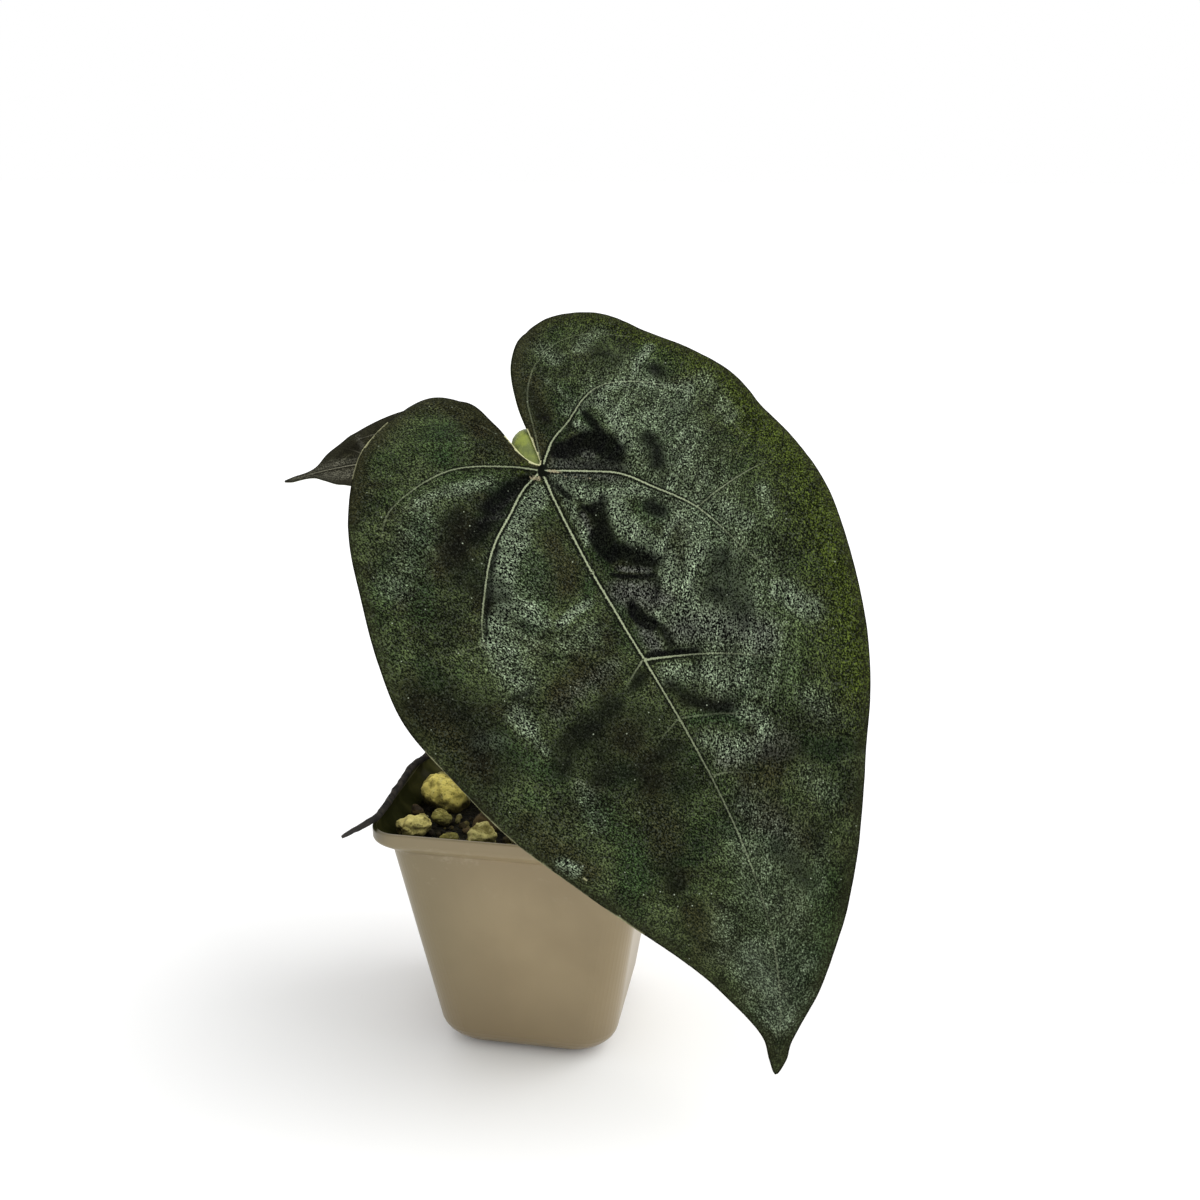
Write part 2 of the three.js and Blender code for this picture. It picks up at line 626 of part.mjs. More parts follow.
const mainVeins = veinList(mainPrimaries, mainLaterals, { midrib: 1.2, primary: 0.9, lateral: 0.5 });
const mainMargin = smoothLine(mainOutline, true, 3);

// Hollows beside the main veins near the stalk, as [u, v, depth, radius]
const mainHollows = [
  [14, -2, 2.2, 7], [-12, 1.5, 1.6, 6], [4.5, 31, 1.6, 7], [6.5, 49, 1.8, 7], [8, 63, 1.2, 6],
];

function mainLift(u, v) {
  const gutter = 0.1 * (Math.hypot(u, 12) - 12);
  const reflexed = -5 * (Math.abs(u) / 62) ** 4;
  const lobe = Math.min(v - 6, 0) ** 2 * THREE.MathUtils.clamp(Math.abs(u) / 12, 0, 1);
  const drooped = -lobe * (u < 0 ? 0.0075 : 0.004);
  const toVein = Math.min(...mainVeins.map(({ line }) => distanceToLine([u, v], line)));
  const pillow = 1.1 + 1.3 * Math.exp(-((Math.hypot(u, v) / 45) ** 2));
  const quilt = pillow * (1 - Math.exp(-((toVein / 6) ** 2)));
  const toMargin = distanceToLine([u, v], mainMargin);
  const angle = Math.atan2(u, 45 - v);
  const outer = THREE.MathUtils.smoothstep(Math.hypot(u, v), 20, 50);
  const wave = 1.2 * Math.sin(9 * angle + 0.6) * Math.exp(-toMargin / 9) * outer;
  let hollows = 0;
  for (const [hu, hv, depth, radius] of mainHollows) {
    hollows -= depth * Math.exp(-(((u - hu) ** 2 + (v - hv) ** 2) / radius ** 2));
  }
  return gutter + reflexed + drooped + quilt + wave + hollows;
}
const mainSurface = bladeSurface({
  midrib: [[6, -19, 174.5], [31, -47, 134], [81.5, -55, 90.5], [75, -66, 33]],
  length: MAIN_BLADE_LENGTH,
  azimuth: 15,
  elevations: [40, 8],
  lift: mainLift,
});
const mainNet = bladeNet({ outline: mainOutline, marginStep: 3.4, fillStep: 7, veins: mainVeins });
const mainBlade = bladeGeometry(mainNet, mainSurface, MAIN_BLADE_THICKNESS);
addPiece("main_leaf_blade", mainBlade, 0x333d29, 0.7);

// Second blade: half of a narrower heart, mirrored
const secondHalf = [
  [0.7, -3], [2.2, -8], [6.2, -11], [11, -10.6], [14.8, -7], [16.6, -0.5], [16.4, 8], [14.8, 16.5], [12, 25],
  [8.8, 32], [5, 37.5], [2.2, 40.8], [1.2, 44], [0.9, 48.5],
];
const secondOutline = [
  [0, -0.8],
  ...secondHalf,
  [0, SECOND_BLADE_LENGTH],
  ...secondHalf.map(([u, v]) => [-u, v]).reverse(),
];
const secondSides = [
  [[0, 0.3], [5, 2.6], [8.6, 9], [9.8, 18], [8.6, 27]],
  [[0, 0.3], [4, -2.6], [9, -4.4], [13, -1.5], [13.8, 7]],
  [[0, 13], [5, 17], [8.6, 23]],
  [[0, 24], [4, 27.5], [6.5, 32]],
];
const mirrored = (line) => line.map(([u, v]) => [-u, v]);
const secondMidrib = [[0, 0.3], [0, 18], [0, 36], [0, 48]];
const secondVeins = veinList(
  [secondMidrib, ...secondSides.slice(0, 2), ...secondSides.slice(0, 2).map(mirrored)],
  [...secondSides.slice(2), ...secondSides.slice(2).map(mirrored)],
  { midrib: 0.9, primary: 0.6, lateral: 0.4 },
);
function secondLift(u, v) {
  const fold = 0.35 * (Math.hypot(u, 4) - 4);
  const toVein = Math.min(...secondVeins.map(({ line }) => distanceToLine([u, v], line)));
  const quilt = 0.7 * (1 - Math.exp(-((toVein / 3.5) ** 2)));
  const lobes = -0.03 * Math.min(v - 2, 0) ** 2;
  return fold + quilt + lobes;
}
const secondSurface = bladeSurface({
  midrib: [[-28, 14, 169], [-44, 12.5, 169.8], [-61, 10, 166.8], [-77.5, 10, 161.3]],
  length: SECOND_BLADE_LENGTH,
  azimuth: 0,
  elevations: [55, 55],
  lift: secondLift,
});
const secondNet = bladeNet({ outline: secondOutline, marginStep: 2.2, fillStep: 4, veins: secondVeins });
const secondBlade = bladeGeometry(secondNet, secondSurface, SECOND_BLADE_THICKNESS);
addPiece("second_leaf_blade", secondBlade, 0x4a4b37, 0.65);

// Dry sheaths: papery brown bracts that stand round the stem's top
function sheath(turn, reach, height) {
  const wrapRadius = STEM_RADIUS + SHEATH_THICKNESS / 2 + SHEATH_GAP;
  const centre = THREE.MathUtils.degToRad(turn);
  function place(u, v) {
    const radius = wrapRadius + 0.012 * Math.max(v - 6, 0) ** 2;
    const angle = centre + u / wrapRadius;
    return new THREE.Vector3(radius * Math.cos(angle), radius * Math.sin(angle), SHEATH_FOOT + v);
  }
  function normal(u, v) {
    const step = 0.05;
    const du = place(u + step, v).sub(place(u - step, v));
    const dv = place(u, v + step).sub(place(u, v - step));
    return dv.cross(du).normalize();
  }
  const half = [[1, 0], [1.05, 0.3], [0.78, 0.6], [0.3, 0.88]].map(([u, v]) => [u * reach, v * height]);
  const outline = [...half, [0, height], ...half.map(([u, v]) => [-u, v]).reverse()];
  const net = bladeNet({ outline, marginStep: 2, fillStep: 3, veins: [] });
  return bladeGeometry(net, { place, normal }, SHEATH_THICKNESS);
}
addPiece("dry_sheath_right", sheath(-52, 5.6, 24), 0x6e5434, 0.85);
addPiece("dry_sheath_left", sheath(-140, 3.8, 17), 0x6e5434, 0.85);

// Leaf stalks: from a sheathing foot on the stem up to the thick joint behind the blade
function stalk(surface, net, thickness, lower, end, radii) {
  const [u, v] = end;
  const seat = surface.place(u, v);
  const normal = surface.normal(u, v);
  const back = (distance) => seat.clone().addScaledVector(normal, -distance);
  const line = [...points3(lower), back(3.2), back(0)];
  const seatCutter = solidFrom(bladeGeometry(net, surface, thickness, BLADE_SEAT));
  const body = solidFrom(rod(line, radii, STALK_STEPS, STALK_SIDES));
  return body.subtract(seatCutter).subtract(stemSeat);
}
const mainStalkBody = stalk(
  mainSurface, mainNet, MAIN_BLADE_THICKNESS,
  [
    [1.5, -1, 78], [1.5, 2, 100], [1, 5, 130], [0.5, 4, 155], [0.4, -3, 174], [1.2, -10, 179],
    [3.4, -14.6, 177.2],
  ],
  [-0.2, 3],
  [3.6, STALK_RADIUS, STALK_RADIUS, STALK_RADIUS, 3.2, JOINT_RADIUS, 3.7, 2.9, 2.4],
);
addPiece("main_leaf_stalk", geometryFrom(largestBody(mainStalkBody)), 0x5f6a35, 0.6);
const secondStalkBody = stalk(
  secondSurface, secondNet, SECOND_BLADE_THICKNESS,
  [[-3, 3.5, 78], [-5.5, 9, 100], [-9, 14, 125], [-15, 18, 146], [-21, 18.5, 158], [-24.6, 17, 163.6]],
  [0, 1],
  [3, 1.7, 1.6, 1.6, 2, 2.5, 2.1, 1.6],
);
addPiece("second_leaf_stalk", geometryFrom(largestBody(secondStalkBody)), 0x5f6a35, 0.6);

export default plant;
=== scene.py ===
import math
import random

import bmesh
import bpy
import numpy as np
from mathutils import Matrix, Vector, geometry, noise


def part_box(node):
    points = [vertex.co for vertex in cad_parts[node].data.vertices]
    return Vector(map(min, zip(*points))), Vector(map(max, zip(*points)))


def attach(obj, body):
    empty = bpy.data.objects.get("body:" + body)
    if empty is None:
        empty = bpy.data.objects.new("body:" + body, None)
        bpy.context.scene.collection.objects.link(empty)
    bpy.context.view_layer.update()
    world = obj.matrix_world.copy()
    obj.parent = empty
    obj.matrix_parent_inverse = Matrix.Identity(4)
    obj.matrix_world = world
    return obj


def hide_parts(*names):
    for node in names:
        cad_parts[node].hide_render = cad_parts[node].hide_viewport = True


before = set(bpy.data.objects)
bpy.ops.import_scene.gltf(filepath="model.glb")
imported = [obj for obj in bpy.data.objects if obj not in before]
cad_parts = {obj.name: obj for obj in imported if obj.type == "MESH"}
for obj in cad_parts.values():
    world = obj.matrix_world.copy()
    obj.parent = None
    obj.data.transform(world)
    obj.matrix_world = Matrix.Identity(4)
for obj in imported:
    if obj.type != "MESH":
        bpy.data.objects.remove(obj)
bpy.ops.object.select_all(action="DESELECT")
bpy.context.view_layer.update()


# Nursery pot
# A thin square tapered pot, injection moulded in beige plastic: rounded corners, a stepped lip to lift it
# by, a rounded foot and four drain holes. Its sides bow in by a hair, as thin mouldings do.
MM = 0.001
pot_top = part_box("pot")[1]
LIP_HALF = pot_top.x / MM
POT_HEIGHT = pot_top.z / MM
WALL = 1.2
FLOOR = 1.6
LIP_CORNER = 8
BODY_TOP = 68
BODY_TOP_HALF = 36
BODY_TOP_CORNER = 9
FOOT_HALF = 25.5
FOOT_CORNER = 10.5
FOOT_FILLET = 8
BODY_LEVELS = (16, 24, 33, 42, 51, 60, BODY_TOP - 1.5, BODY_TOP)
STEP = 5
BOW = 0.25
DRAIN_REACH = 12.5
DRAIN_RADIUS = 2.5
DRAIN_DEPTH = 8


class Wire:
    """A link or number in a material's nodes: arithmetic adds Math nodes, and node() adds any other"""

    def __init__(self, tree, value):
        self.tree = tree
        self.value = value

    def node(self, kind, settings=None, give=0, **sockets):
        """Adds a node: its settings or ramp stops first, then the values or links of its sockets"""
        made = self.tree.nodes.new(kind)
        for name, setting in (settings or {}).items():
            if name == "stops":
                ramp = made.color_ramp.elements
                while len(ramp) < len(setting):
                    ramp.new(0.5)
                for stop, (place, colour) in zip(ramp, setting):
                    stop.position = place
                    stop.color = (*tint(*colour), 1)
            else:
                setattr(made, name, setting)
        for name, value in sockets.items():
            wanted = name.replace("_", " ")
            socket = next(s for s in made.inputs if s.enabled and s.name in (name, wanted))
            self.join(value, socket)
        return Wire(self.tree, made.outputs[give])

    def join(self, value, socket):
        """Links a wire or sets a value: three numbers for a colour are as seen on a screen, 0 to 255"""
        value = value.value if isinstance(value, Wire) else value
        if isinstance(value, bpy.types.NodeSocket):
            self.tree.links.new(value, socket)
        elif socket.type == "RGBA" and len(value) == 3:
            socket.default_value = (*tint(*value), 1)
        else:
            socket.default_value = value

    def math(self, operation, *values):
        made = self.tree.nodes.new("ShaderNodeMath")
        made.operation = operation
        for value, socket in zip((self, *values), made.inputs):
            self.join(value, socket)
        return Wire(self.tree, made.outputs[0])

    def __add__(self, other):
        return self.math("ADD", other)

    def __sub__(self, other):
        return self.math("SUBTRACT", other)

    def __mul__(self, other):
        return self.math("MULTIPLY", other)

    def __rsub__(self, other):
        return Wire(self.tree, other).math("SUBTRACT", self)

    __radd__ = __add__
    __rmul__ = __mul__

    def ramp(self, low, high):
        """0 below low, 1 above high and smooth between"""
        settings = {"interpolation_type": "SMOOTHSTEP"}
        return self.node("ShaderNodeMapRange", settings, Value=self, From_Min=low, From_Max=high)

    def mix(self, first, second):
        """From the first colour to the second as this mask goes from 0 to 1"""
        return self.node("ShaderNodeMix", {"data_type": "RGBA"}, 2, Factor=self, A=first, B=second)

    def grain(self, size, detail=2, give=0, stretch=None, roughness=0.5):
        """Noise with features of a size in mm, from this place"""
        place = self
        if stretch:
            place = self.node("ShaderNodeMapping", Vector=self, Scale=stretch)
        scale = 1 / (size * MM)
        return place.node(
            "ShaderNodeTexNoise", None, give, Vector=place, Scale=scale, Detail=detail, Roughness=roughness
        )

    def cells(self, size, feature="F1"):
        """Distance in a random cell pattern with cells of a size in mm"""
        return self.node("ShaderNodeTexVoronoi", {"feature": feature}, Vector=self, Scale=1 / (size * MM))

    def axis(self, k):
        """One axis of this place, in mm"""
        return self.node("ShaderNodeSeparateXYZ", None, k, Vector=self) * (1 / MM)

    def attribute(self, key):
        """A number that the piece stores at each vertex"""
        return self.node("ShaderNodeAttribute", {"attribute_name": key}, 2)


def tint(*screen):
    """A colour as seen on a screen, 0 to 255, as the light that a shader works with"""
    return tuple(((c / 255 + 0.055) / 1.055) ** 2.4 if c > 10 else c / 255 / 12.92 for c in screen)


def new_finish(name):
    """A new material's place wire, and the function that finishes it"""
    material = bpy.data.materials.new(name)
    material.use_nodes = True
    tree = material.node_tree
    shader = tree.nodes["Principled BSDF"]
    place = Wire(tree, 0).node("ShaderNodeTexCoord", None, 3)

    def finished(colour, roughness, specular, bump=None, **others):
        """Sets the shader and returns the material; the bump is a height, a distance in mm and a strength"""
        values = {"Base Color": colour, "Roughness": roughness, "Specular IOR Level": specular, **others}
        if bump:
            height, distance, strength = bump
            scale = {"Distance": distance * MM, "Strength": strength}
            values["Normal"] = place.node("ShaderNodeBump", Height=height, **scale)
        for socket, value in values.items():
            place.join(value, shader.inputs[socket])
        return material

    return place, finished


def layered(colour, *layers):
    """A colour with others laid over it in turn, each a mask and its colour"""
    for mask, over in layers:
        colour = mask.mix(colour, over)
    return colour


def rounded_square(half, corner, z, bow=0.0, corner_steps=12, side_steps=5):
    """One ring of the pot, in order round the +Z axis, in mm"""
    flat = half - corner
    shares = [2 * i / side_steps - 1 for i in range(side_steps)]
    side = [(half - bow * (1 - share**2), flat * share) for share in shares]
    angles = [math.pi / 2 * i / corner_steps for i in range(corner_steps)]
    arc = [(flat + corner * math.cos(a), flat + corner * math.sin(a)) for a in angles]
    ring = []
    for quarter in range(4):
        cos, sin = math.cos(quarter * math.pi / 2), math.sin(quarter * math.pi / 2)
        ring += [(x * cos - y * sin, x * sin + y * cos, z) for x, y in side + arc]
    return ring


def face_outwards(weld=0):
    """Welds the active piece's points that are within a gap in mm, and turns its faces outwards"""
    bpy.ops.object.mode_set(mode="EDIT")
    bpy.ops.mesh.select_all(action="SELECT")
    if weld:
        bpy.ops.mesh.remove_doubles(threshold=weld * MM)
    bpy.ops.mesh.normals_make_consistent(inside=False)
    bpy.ops.object.mode_set(mode="OBJECT")


def ring_body(name, rings):
    """A closed body: a circle's face extruded from ring to ring in edit mode, each ring given in mm"""
    bpy.ops.mesh.primitive_circle_add(vertices=len(rings[0]), fill_type="NGON")
    piece = bpy.context.object
    piece.name = piece.data.name = name
    bpy.ops.object.mode_set(mode="EDIT")
    bpy.ops.mesh.select_all(action="SELECT")
    for place, ring in enumerate(rings):
        if place:
            bpy.ops.mesh.extrude_region_move()
        mesh = bmesh.from_edit_mesh(piece.data)
        rim = sorted((v for v in mesh.verts if v.select), key=lambda v: math.atan2(v.co.y, v.co.x))
        for vertex, point in zip(rim, sorted(ring, key=lambda p: math.atan2(p[1], p[0]))):
            vertex.co = Vector(point) * MM
        bmesh.update_edit_mesh(piece.data)
    face_outwards()
    return piece


def body_at(z):
    """Half width and corner radius of the tapered body at a height"""
    t = z / BODY_TOP
    return FOOT_HALF + (BODY_TOP_HALF - FOOT_HALF) * t, FOOT_CORNER + (BODY_TOP_CORNER - FOOT_CORNER) * t


def pot_rows(inset, foot, steps=8):
    """Rings from the underside up to the lip, moved inwards by a wall"""
    rows = []
    fillet = FOOT_FILLET - inset
    for i in range(steps + 1):
        angle = i / steps * math.pi / 2
        z = foot + fillet * (1 - math.cos(angle))
        half, corner = body_at(z)
        rows.append(rounded_square(half - inset - fillet * (1 - math.sin(angle)), corner - inset, z))
    for z in BODY_LEVELS:
        half, corner = body_at(z)
        bow = BOW * math.sin(math.pi * z / BODY_TOP)
        rows.append(rounded_square(half - inset, corner - inset, z, bow))
    lift = WALL / 2 if inset else 0
    for i in range(1, steps + 1):
        t = i / steps
        out = (LIP_HALF - BODY_TOP_HALF) * (0.5 - 0.5 * math.cos(t * math.pi))
        corner = BODY_TOP_CORNER + (LIP_CORNER - BODY_TOP_CORNER) * t
        rows.append(rounded_square(BODY_TOP_HALF + out - inset, corner - inset, BODY_TOP + STEP * t + lift))
    return rows


def lip_rows(steps=4, radius=0.5):
    """The lip's rounded top edge, from its outer face to its inner face"""
    rows = []
    for start, middle in ((0, LIP_HALF - radius), (1, LIP_HALF - WALL + radius)):
        for i in range(steps + 1):
            angle = (start + i / steps) * math.pi / 2
            half = middle + radius * math.cos(angle)
            z = POT_HEIGHT - radius + radius * math.sin(angle)
            rows.append(rounded_square(half, LIP_CORNER - (LIP_HALF - half), z))
    return rows


def cut_drain_holes(pot):
    for sx, sy in ((-1, -1), (-1, 1), (1, -1), (1, 1)):
        place = Vector((sx * DRAIN_REACH, sy * DRAIN_REACH, 0)) * MM
        bpy.ops.mesh.primitive_cylinder_add(
            vertices=32, radius=DRAIN_RADIUS * MM, depth=DRAIN_DEPTH * MM, location=place
        )
        drill = bpy.context.object
        cut = pot.modifiers.new("drain", "BOOLEAN")
        cut.object = drill
        bpy.context.view_layer.objects.active = pot
        bpy.ops.object.modifier_apply(modifier=cut.name)
        bpy.data.objects.remove(drill)


def pot_finish():
    place, finished = new_finish("pot_beige")
    side, height = place.axis(0), place.axis(2)
    cloud = place.grain(26, 3)
    flow = place.grain(7, 3, stretch=(1, 1, 0.25))
    dust = place.grain(1.1, 4, roughness=0.7)
    # Painted shade: a faint darker line below the step, as a small ridge would cast
    step = height.ramp(68.6, 69.4) * (1 - height.ramp(69.6, 70.4)) * flow.ramp(0.35, 0.6)
    splash = height.ramp(48, 72) * place.grain(5, 4).ramp(0.56, 0.7) * dust.ramp(0.42, 0.62)
    # Painted shade at the left end of the lip, darkest at its top
    corner = (1 - side.ramp(-38.4, -31)) * height.ramp(70, 76)
    # Painted shade along the top of the left lip
    painted_lip_shade = (1 - side.ramp(-37.7, -36.6)) * height.ramp(75, 76)
    # Painted shade on the inner wall, a little uneven
    painted_inner_shade = (place.attribute("inner") - 0.3 * (1 - cloud.ramp(0.4, 0.6))).ramp(0.2, 0.8)
    dark = (painted_inner_shade + painted_lip_shade).math("MINIMUM", 1)
    colour = layered(
        cloud.ramp(0.35, 0.7).mix((134, 118, 87), (143, 127, 95)),
        # Painted shade: the pot darker towards its left, away from the light
        ((1 - side.ramp(-36, 2)) * 0.95, (114, 103, 75)),
        # Painted shade: the pot darker towards its foot
        ((1 - height.ramp(0, 42)) * 0.7, (112, 97, 70)),
        (flow.ramp(0.5, 0.8) * 0.22, (121, 108, 78)),
        (height.ramp(68.5, 73) * 0.35, (142, 128, 98)),
        (step * 0.35, (100, 88, 62)),
        (splash * 0.3, (168, 158, 134)),
        (dust.ramp(0.66, 0.74) * 0.25, (104, 90, 66)),
        # Painted shade at the lip's left end
        (corner * 0.8, (70, 66, 50)),
        # Painted shade, nearly black, on the inner wall and the top of the left lip
        (dark, flow.ramp(0.4, 0.7).mix((36, 37, 19), (56, 55, 30))),
    )
    roughness = 0.42 + 0.25 * cloud + 0.15 * splash + 0.2 * dark
    coat = {"Coat Weight": 0.9 * (1 - dark), "Coat Roughness": 0.3}
    return finished(colour, roughness, 0.0, (dust * 0.4 + flow, 0.08, 0.4), **coat)


def give_values(piece, name, values):
    """Stores one number a vertex for the material"""
    layer = piece.data.attributes.new(name, "FLOAT", "POINT")
    layer.data.foreach_set("value", np.asarray(values, np.float32))


def finish_piece(piece, material, slot, *nodes):
    """Material, body, slot (not used) and the CAD nodes that a new piece stands for"""
    piece.data.materials.clear()
    piece.data.materials.append(material)
    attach(piece, "root")
    if nodes:
        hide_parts(*nodes)
    piece.select_set(False)


pot_outside = pot_rows(0, 0) + lip_rows()
pot_inside = pot_rows(WALL, FLOOR)[::-1]
pot = ring_body("nursery_pot", pot_outside + pot_inside)
first_inner = (len(pot_outside) - 1) * len(pot_inside[0])
give_values(pot, "inner", np.arange(len(pot.data.vertices)) >= first_inner)
cut_drain_holes(pot)
bpy.ops.object.shade_smooth_by_angle(angle=math.radians(40))
finish_piece(pot, pot_finish(), "pot_plastic", "pot")


# Potting mix
# Fine dark mix of bark dust, charcoal and pumice sand fills the pot to a rough crumbly top, with loose grit
# lying on it between the larger lumps.
MIX_TOP = 69
MIX_GAP = 0.35
MIX_SHOULDER = 2
MIX_RINGS = 60


def mix_finish():
    place, finished = new_finish("mix_dark")
    crumb = place.cells(1.3)
    colour = place.grain(5, 4).ramp(0.35, 0.7).mix((10, 9, 5), (26, 23, 12))
    colour = layered(colour, (crumb.ramp(0.5, 0.9) * 0.4, (54, 48, 24)))
    return finished(colour, 0.95, 0.15, (crumb + place.grain(0.6, 4), 0.7, 0.9))


def mix_top(x, y):
    """Height of the crumbly top over the pot's middle, in mm"""
    coarse = noise.noise(Vector((x, y, 3)) / 7.5)
    fine = noise.noise(Vector((x, y, 9)) / 1.7)
    return MIX_TOP - 0.6 + 1.3 * coarse + 0.7 * fine


shoulder = MIX_TOP - MIX_SHOULDER
mix_rings = [ring for ring in pot_rows(WALL + MIX_GAP, FLOOR + MIX_GAP) if ring[0][2] < shoulder]
top_half, top_corner = body_at(shoulder)
mix_edge = rounded_square(top_half - WALL - MIX_GAP, top_corner - WALL, 0)
for reach in [1, *np.linspace(0.985, 0.02, MIX_RINGS)]:
    sunk = 1.5 if reach == 1 else 0
    mix_rings.append([(x * reach, y * reach, mix_top(x * reach, y * reach) - sunk) for x, y, _ in mix_edge])
mix = ring_body("potting_mix_fill", mix_rings)
bpy.ops.object.shade_smooth()
finish_piece(mix, mix_finish(), "mix", "potting_mix")


# Lumps of the mix
# Broken pumice in yellow, grey-green and beige, and chips of dark bark. The pumice is rounded by handling
# and full of pores; the bark splits into flat layers.
LUMP_SEED = 21


def lump_surface(point, kind, seed):
    """How far the lump's skin stands out at a point in mm: pores and dents of pumice, or layers of bark"""
    spot = point + Vector((seed * 7.3, seed * 3.1, seed * 5.7))
    if kind == "pumice":
        broad = noise.noise(spot / 2.6) * 0.75 - abs(noise.noise(spot / 4.2)) * 1.1
        dents = -abs(noise.noise(spot / 1.25)) * 0.5
        near = noise.voronoi(spot / 0.85)[0][0]
        return broad + dents - 0.3 * max(0.0, 0.42 - near) / 0.42
    layers = noise.noise(Vector((spot.x / 4, spot.y / 4, spot.z / 0.7)))
    return 0.35 * layers + 0.3 * noise.noise(spot / 1.6) - 0.18 * abs(noise.noise(spot / 0.7))


def add_object(name, data):
    """A new object, the only one selected"""
    piece = bpy.data.objects.new(name, data)
    bpy.context.collection.objects.link(piece)
    bpy.ops.object.select_all(action="DESELECT")
    bpy.context.view_layer.objects.active = piece
    piece.select_set(True)
    return piece


def lump_from(node, kind, seed, cuts):
    """A CAD lump's own form, merged, cut fine and roughened"""
    mesh = bmesh.new()
    mesh.from_mesh(node.data)
    bmesh.ops.remove_doubles(mesh, verts=mesh.verts, dist=0.02 * MM)
    bmesh.ops.subdivide_edges(mesh, edges=mesh.edges, cuts=cuts, use_grid_fill=True, smooth=0.9)
    mesh.normal_update()
    middle = sum((v.co for v in mesh.verts), Vector()) / len(mesh.verts)
    size = max((v.co - middle).length for v in mesh.verts) / MM
    share = min(1.0, size / 5)
    moves = [v.normal * lump_surface(v.co / MM, kind, seed) * share * MM for v in mesh.verts]
    tone, shut = mesh.verts.layers.float.new("tone"), mesh.verts.layers.float.new("shut")
    for vertex, move in zip(mesh.verts, moves):
        vertex.co += move
        vertex[tone] = seed
    mesh.normal_update()
    # How far each point faces down, for painted shade
    for vertex in mesh.verts:
        vertex[shut] = min(1, max(0, 0.75 - vertex.normal.z * 1.1))
    made = bpy.data.meshes.new(node.name)
    mesh.to_mesh(made)
    mesh.free()
    return add_object(node.name + "_skin", made)


def joined(name, pieces):
    bpy.ops.object.select_all(action="DESELECT")
    for piece in pieces:
        piece.select_set(True)
    bpy.context.view_layer.objects.active = pieces[0]
    bpy.ops.object.join()
    piece = bpy.context.object
    piece.name = piece.data.name = name
    return piece


def pumice_finish():
    place, finished = new_finish("pumice")
    tone = place.attribute("tone")
    blend = tone.node("ShaderNodeValToRGB", {"stops": [
        (0.0, (232, 214, 116)), (0.22, (212, 200, 132)), (0.42, (158, 150, 88)),
        (0.6, (196, 184, 78)), (0.8, (140, 132, 70)), (1.0, (206, 198, 142)),
    ]}, Fac=tone)
    stain = place.grain(3.2, 4)
    pores = place.cells(0.9)
    height = place.axis(2)
    colour = layered(
        blend,
        (stain.ramp(0.45, 0.66) * 0.8, (104, 94, 42)),
        (place.grain(1.4, 3).ramp(0.55, 0.75) * 0.5, (222, 212, 146)),
        # Painted shade in the pores
        ((1 - pores.ramp(0.05, 0.35)) * 0.5, (78, 68, 30)),
        # Painted shade: the lumps darker low down, where they sink into the mix
        ((1 - height.ramp(MIX_TOP + 0.5, MIX_TOP + 5)) * 0.75, (34, 31, 14)),
        # Painted shade on the sides that face down
        ((place.attribute("shut") + 0.5 * (stain - 0.5)).ramp(0.05, 0.95) * 0.8, (44, 38, 17)),
    )
    return finished(colour, 0.9, 0.2, (pores.ramp(0, 0.5) + place.grain(0.5, 4), 0.35, 0.8))


def bark_finish():
    place, finished = new_finish("bark")
    grain = place.grain(1.6, 4, stretch=(0.35, 0.35, 2.2))
    colour = layered(
        grain.ramp(0.35, 0.7).mix((34, 26, 15), (84, 68, 42)),
        (place.grain(4, 3).ramp(0.5, 0.7) * 0.5, (24, 19, 14)),
        (place.attribute("tone") * 0.35, (92, 78, 50)),
        # Painted shade on the sides that face down
        (place.attribute("shut") * 0.7, (20, 17, 10)),
    )
    return finished(colour, 0.9, 0.2, (grain + place.grain(0.5, 3) * 0.5, 0.5, 0.8))


lump_random = random.Random(LUMP_SEED)
lump_nodes = [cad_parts[n] for n in sorted(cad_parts) if "_lump_" in n]
# These four lumps show past the leaf, so their tones are given one by one
set_tones = {"pumice_lump_1": 0.0, "pumice_lump_2": 0.15, "pumice_lump_3": 0.45, "pumice_lump_4": 0.3}
for kind, make_finish, cuts in (("pumice", pumice_finish, 5), ("bark", bark_finish, 4)):
    chosen = [n for n in lump_nodes if n.name.startswith(kind)]
    skins = [lump_from(n, kind, set_tones.get(n.name, lump_random.random()), cuts) for n in chosen]
    lumps = joined(kind + "_lumps", skins)
    bpy.ops.object.shade_smooth()
    finish_piece(lumps, make_finish(), kind, *[n.name for n in chosen])


# Loose grit
# Broken grains of pumice, bark and charcoal, 0.8 to 3 mm, that have settled in the gaps between the lumps.
GRIT_SEED = 4
GRIT_COUNT = 620
GRIT_KINDS = 5
GRIT_HALF = 33
GRIT_FLAT = 25
GRIT_CORNER = 8.6
GRIT_SMALL = (0.35, 0.75)
GRIT_LARGE = (0.8, 1.6)
STEM_GAP = 7


def grit_finish():
    place, finished = new_finish("grit")
    tone = place.attribute("tone")
    blend = tone.node("ShaderNodeValToRGB", {"stops": [
        (0.0, (14, 12, 7)), (0.34, (36, 28, 16)), (0.55, (66, 57, 30)),
        (0.72, (112, 103, 58)), (0.88, (104, 100, 70)), (1.0, (176, 168, 126)),
    ]}, Fac=tone)
    colour = layered(blend, (place.grain(0.7, 3).ramp(0.45, 0.7) * 0.6, (40, 34, 20)))
    return finished(colour, 0.9, 0.2, (place.grain(0.4, 3), 0.25, 0.7))


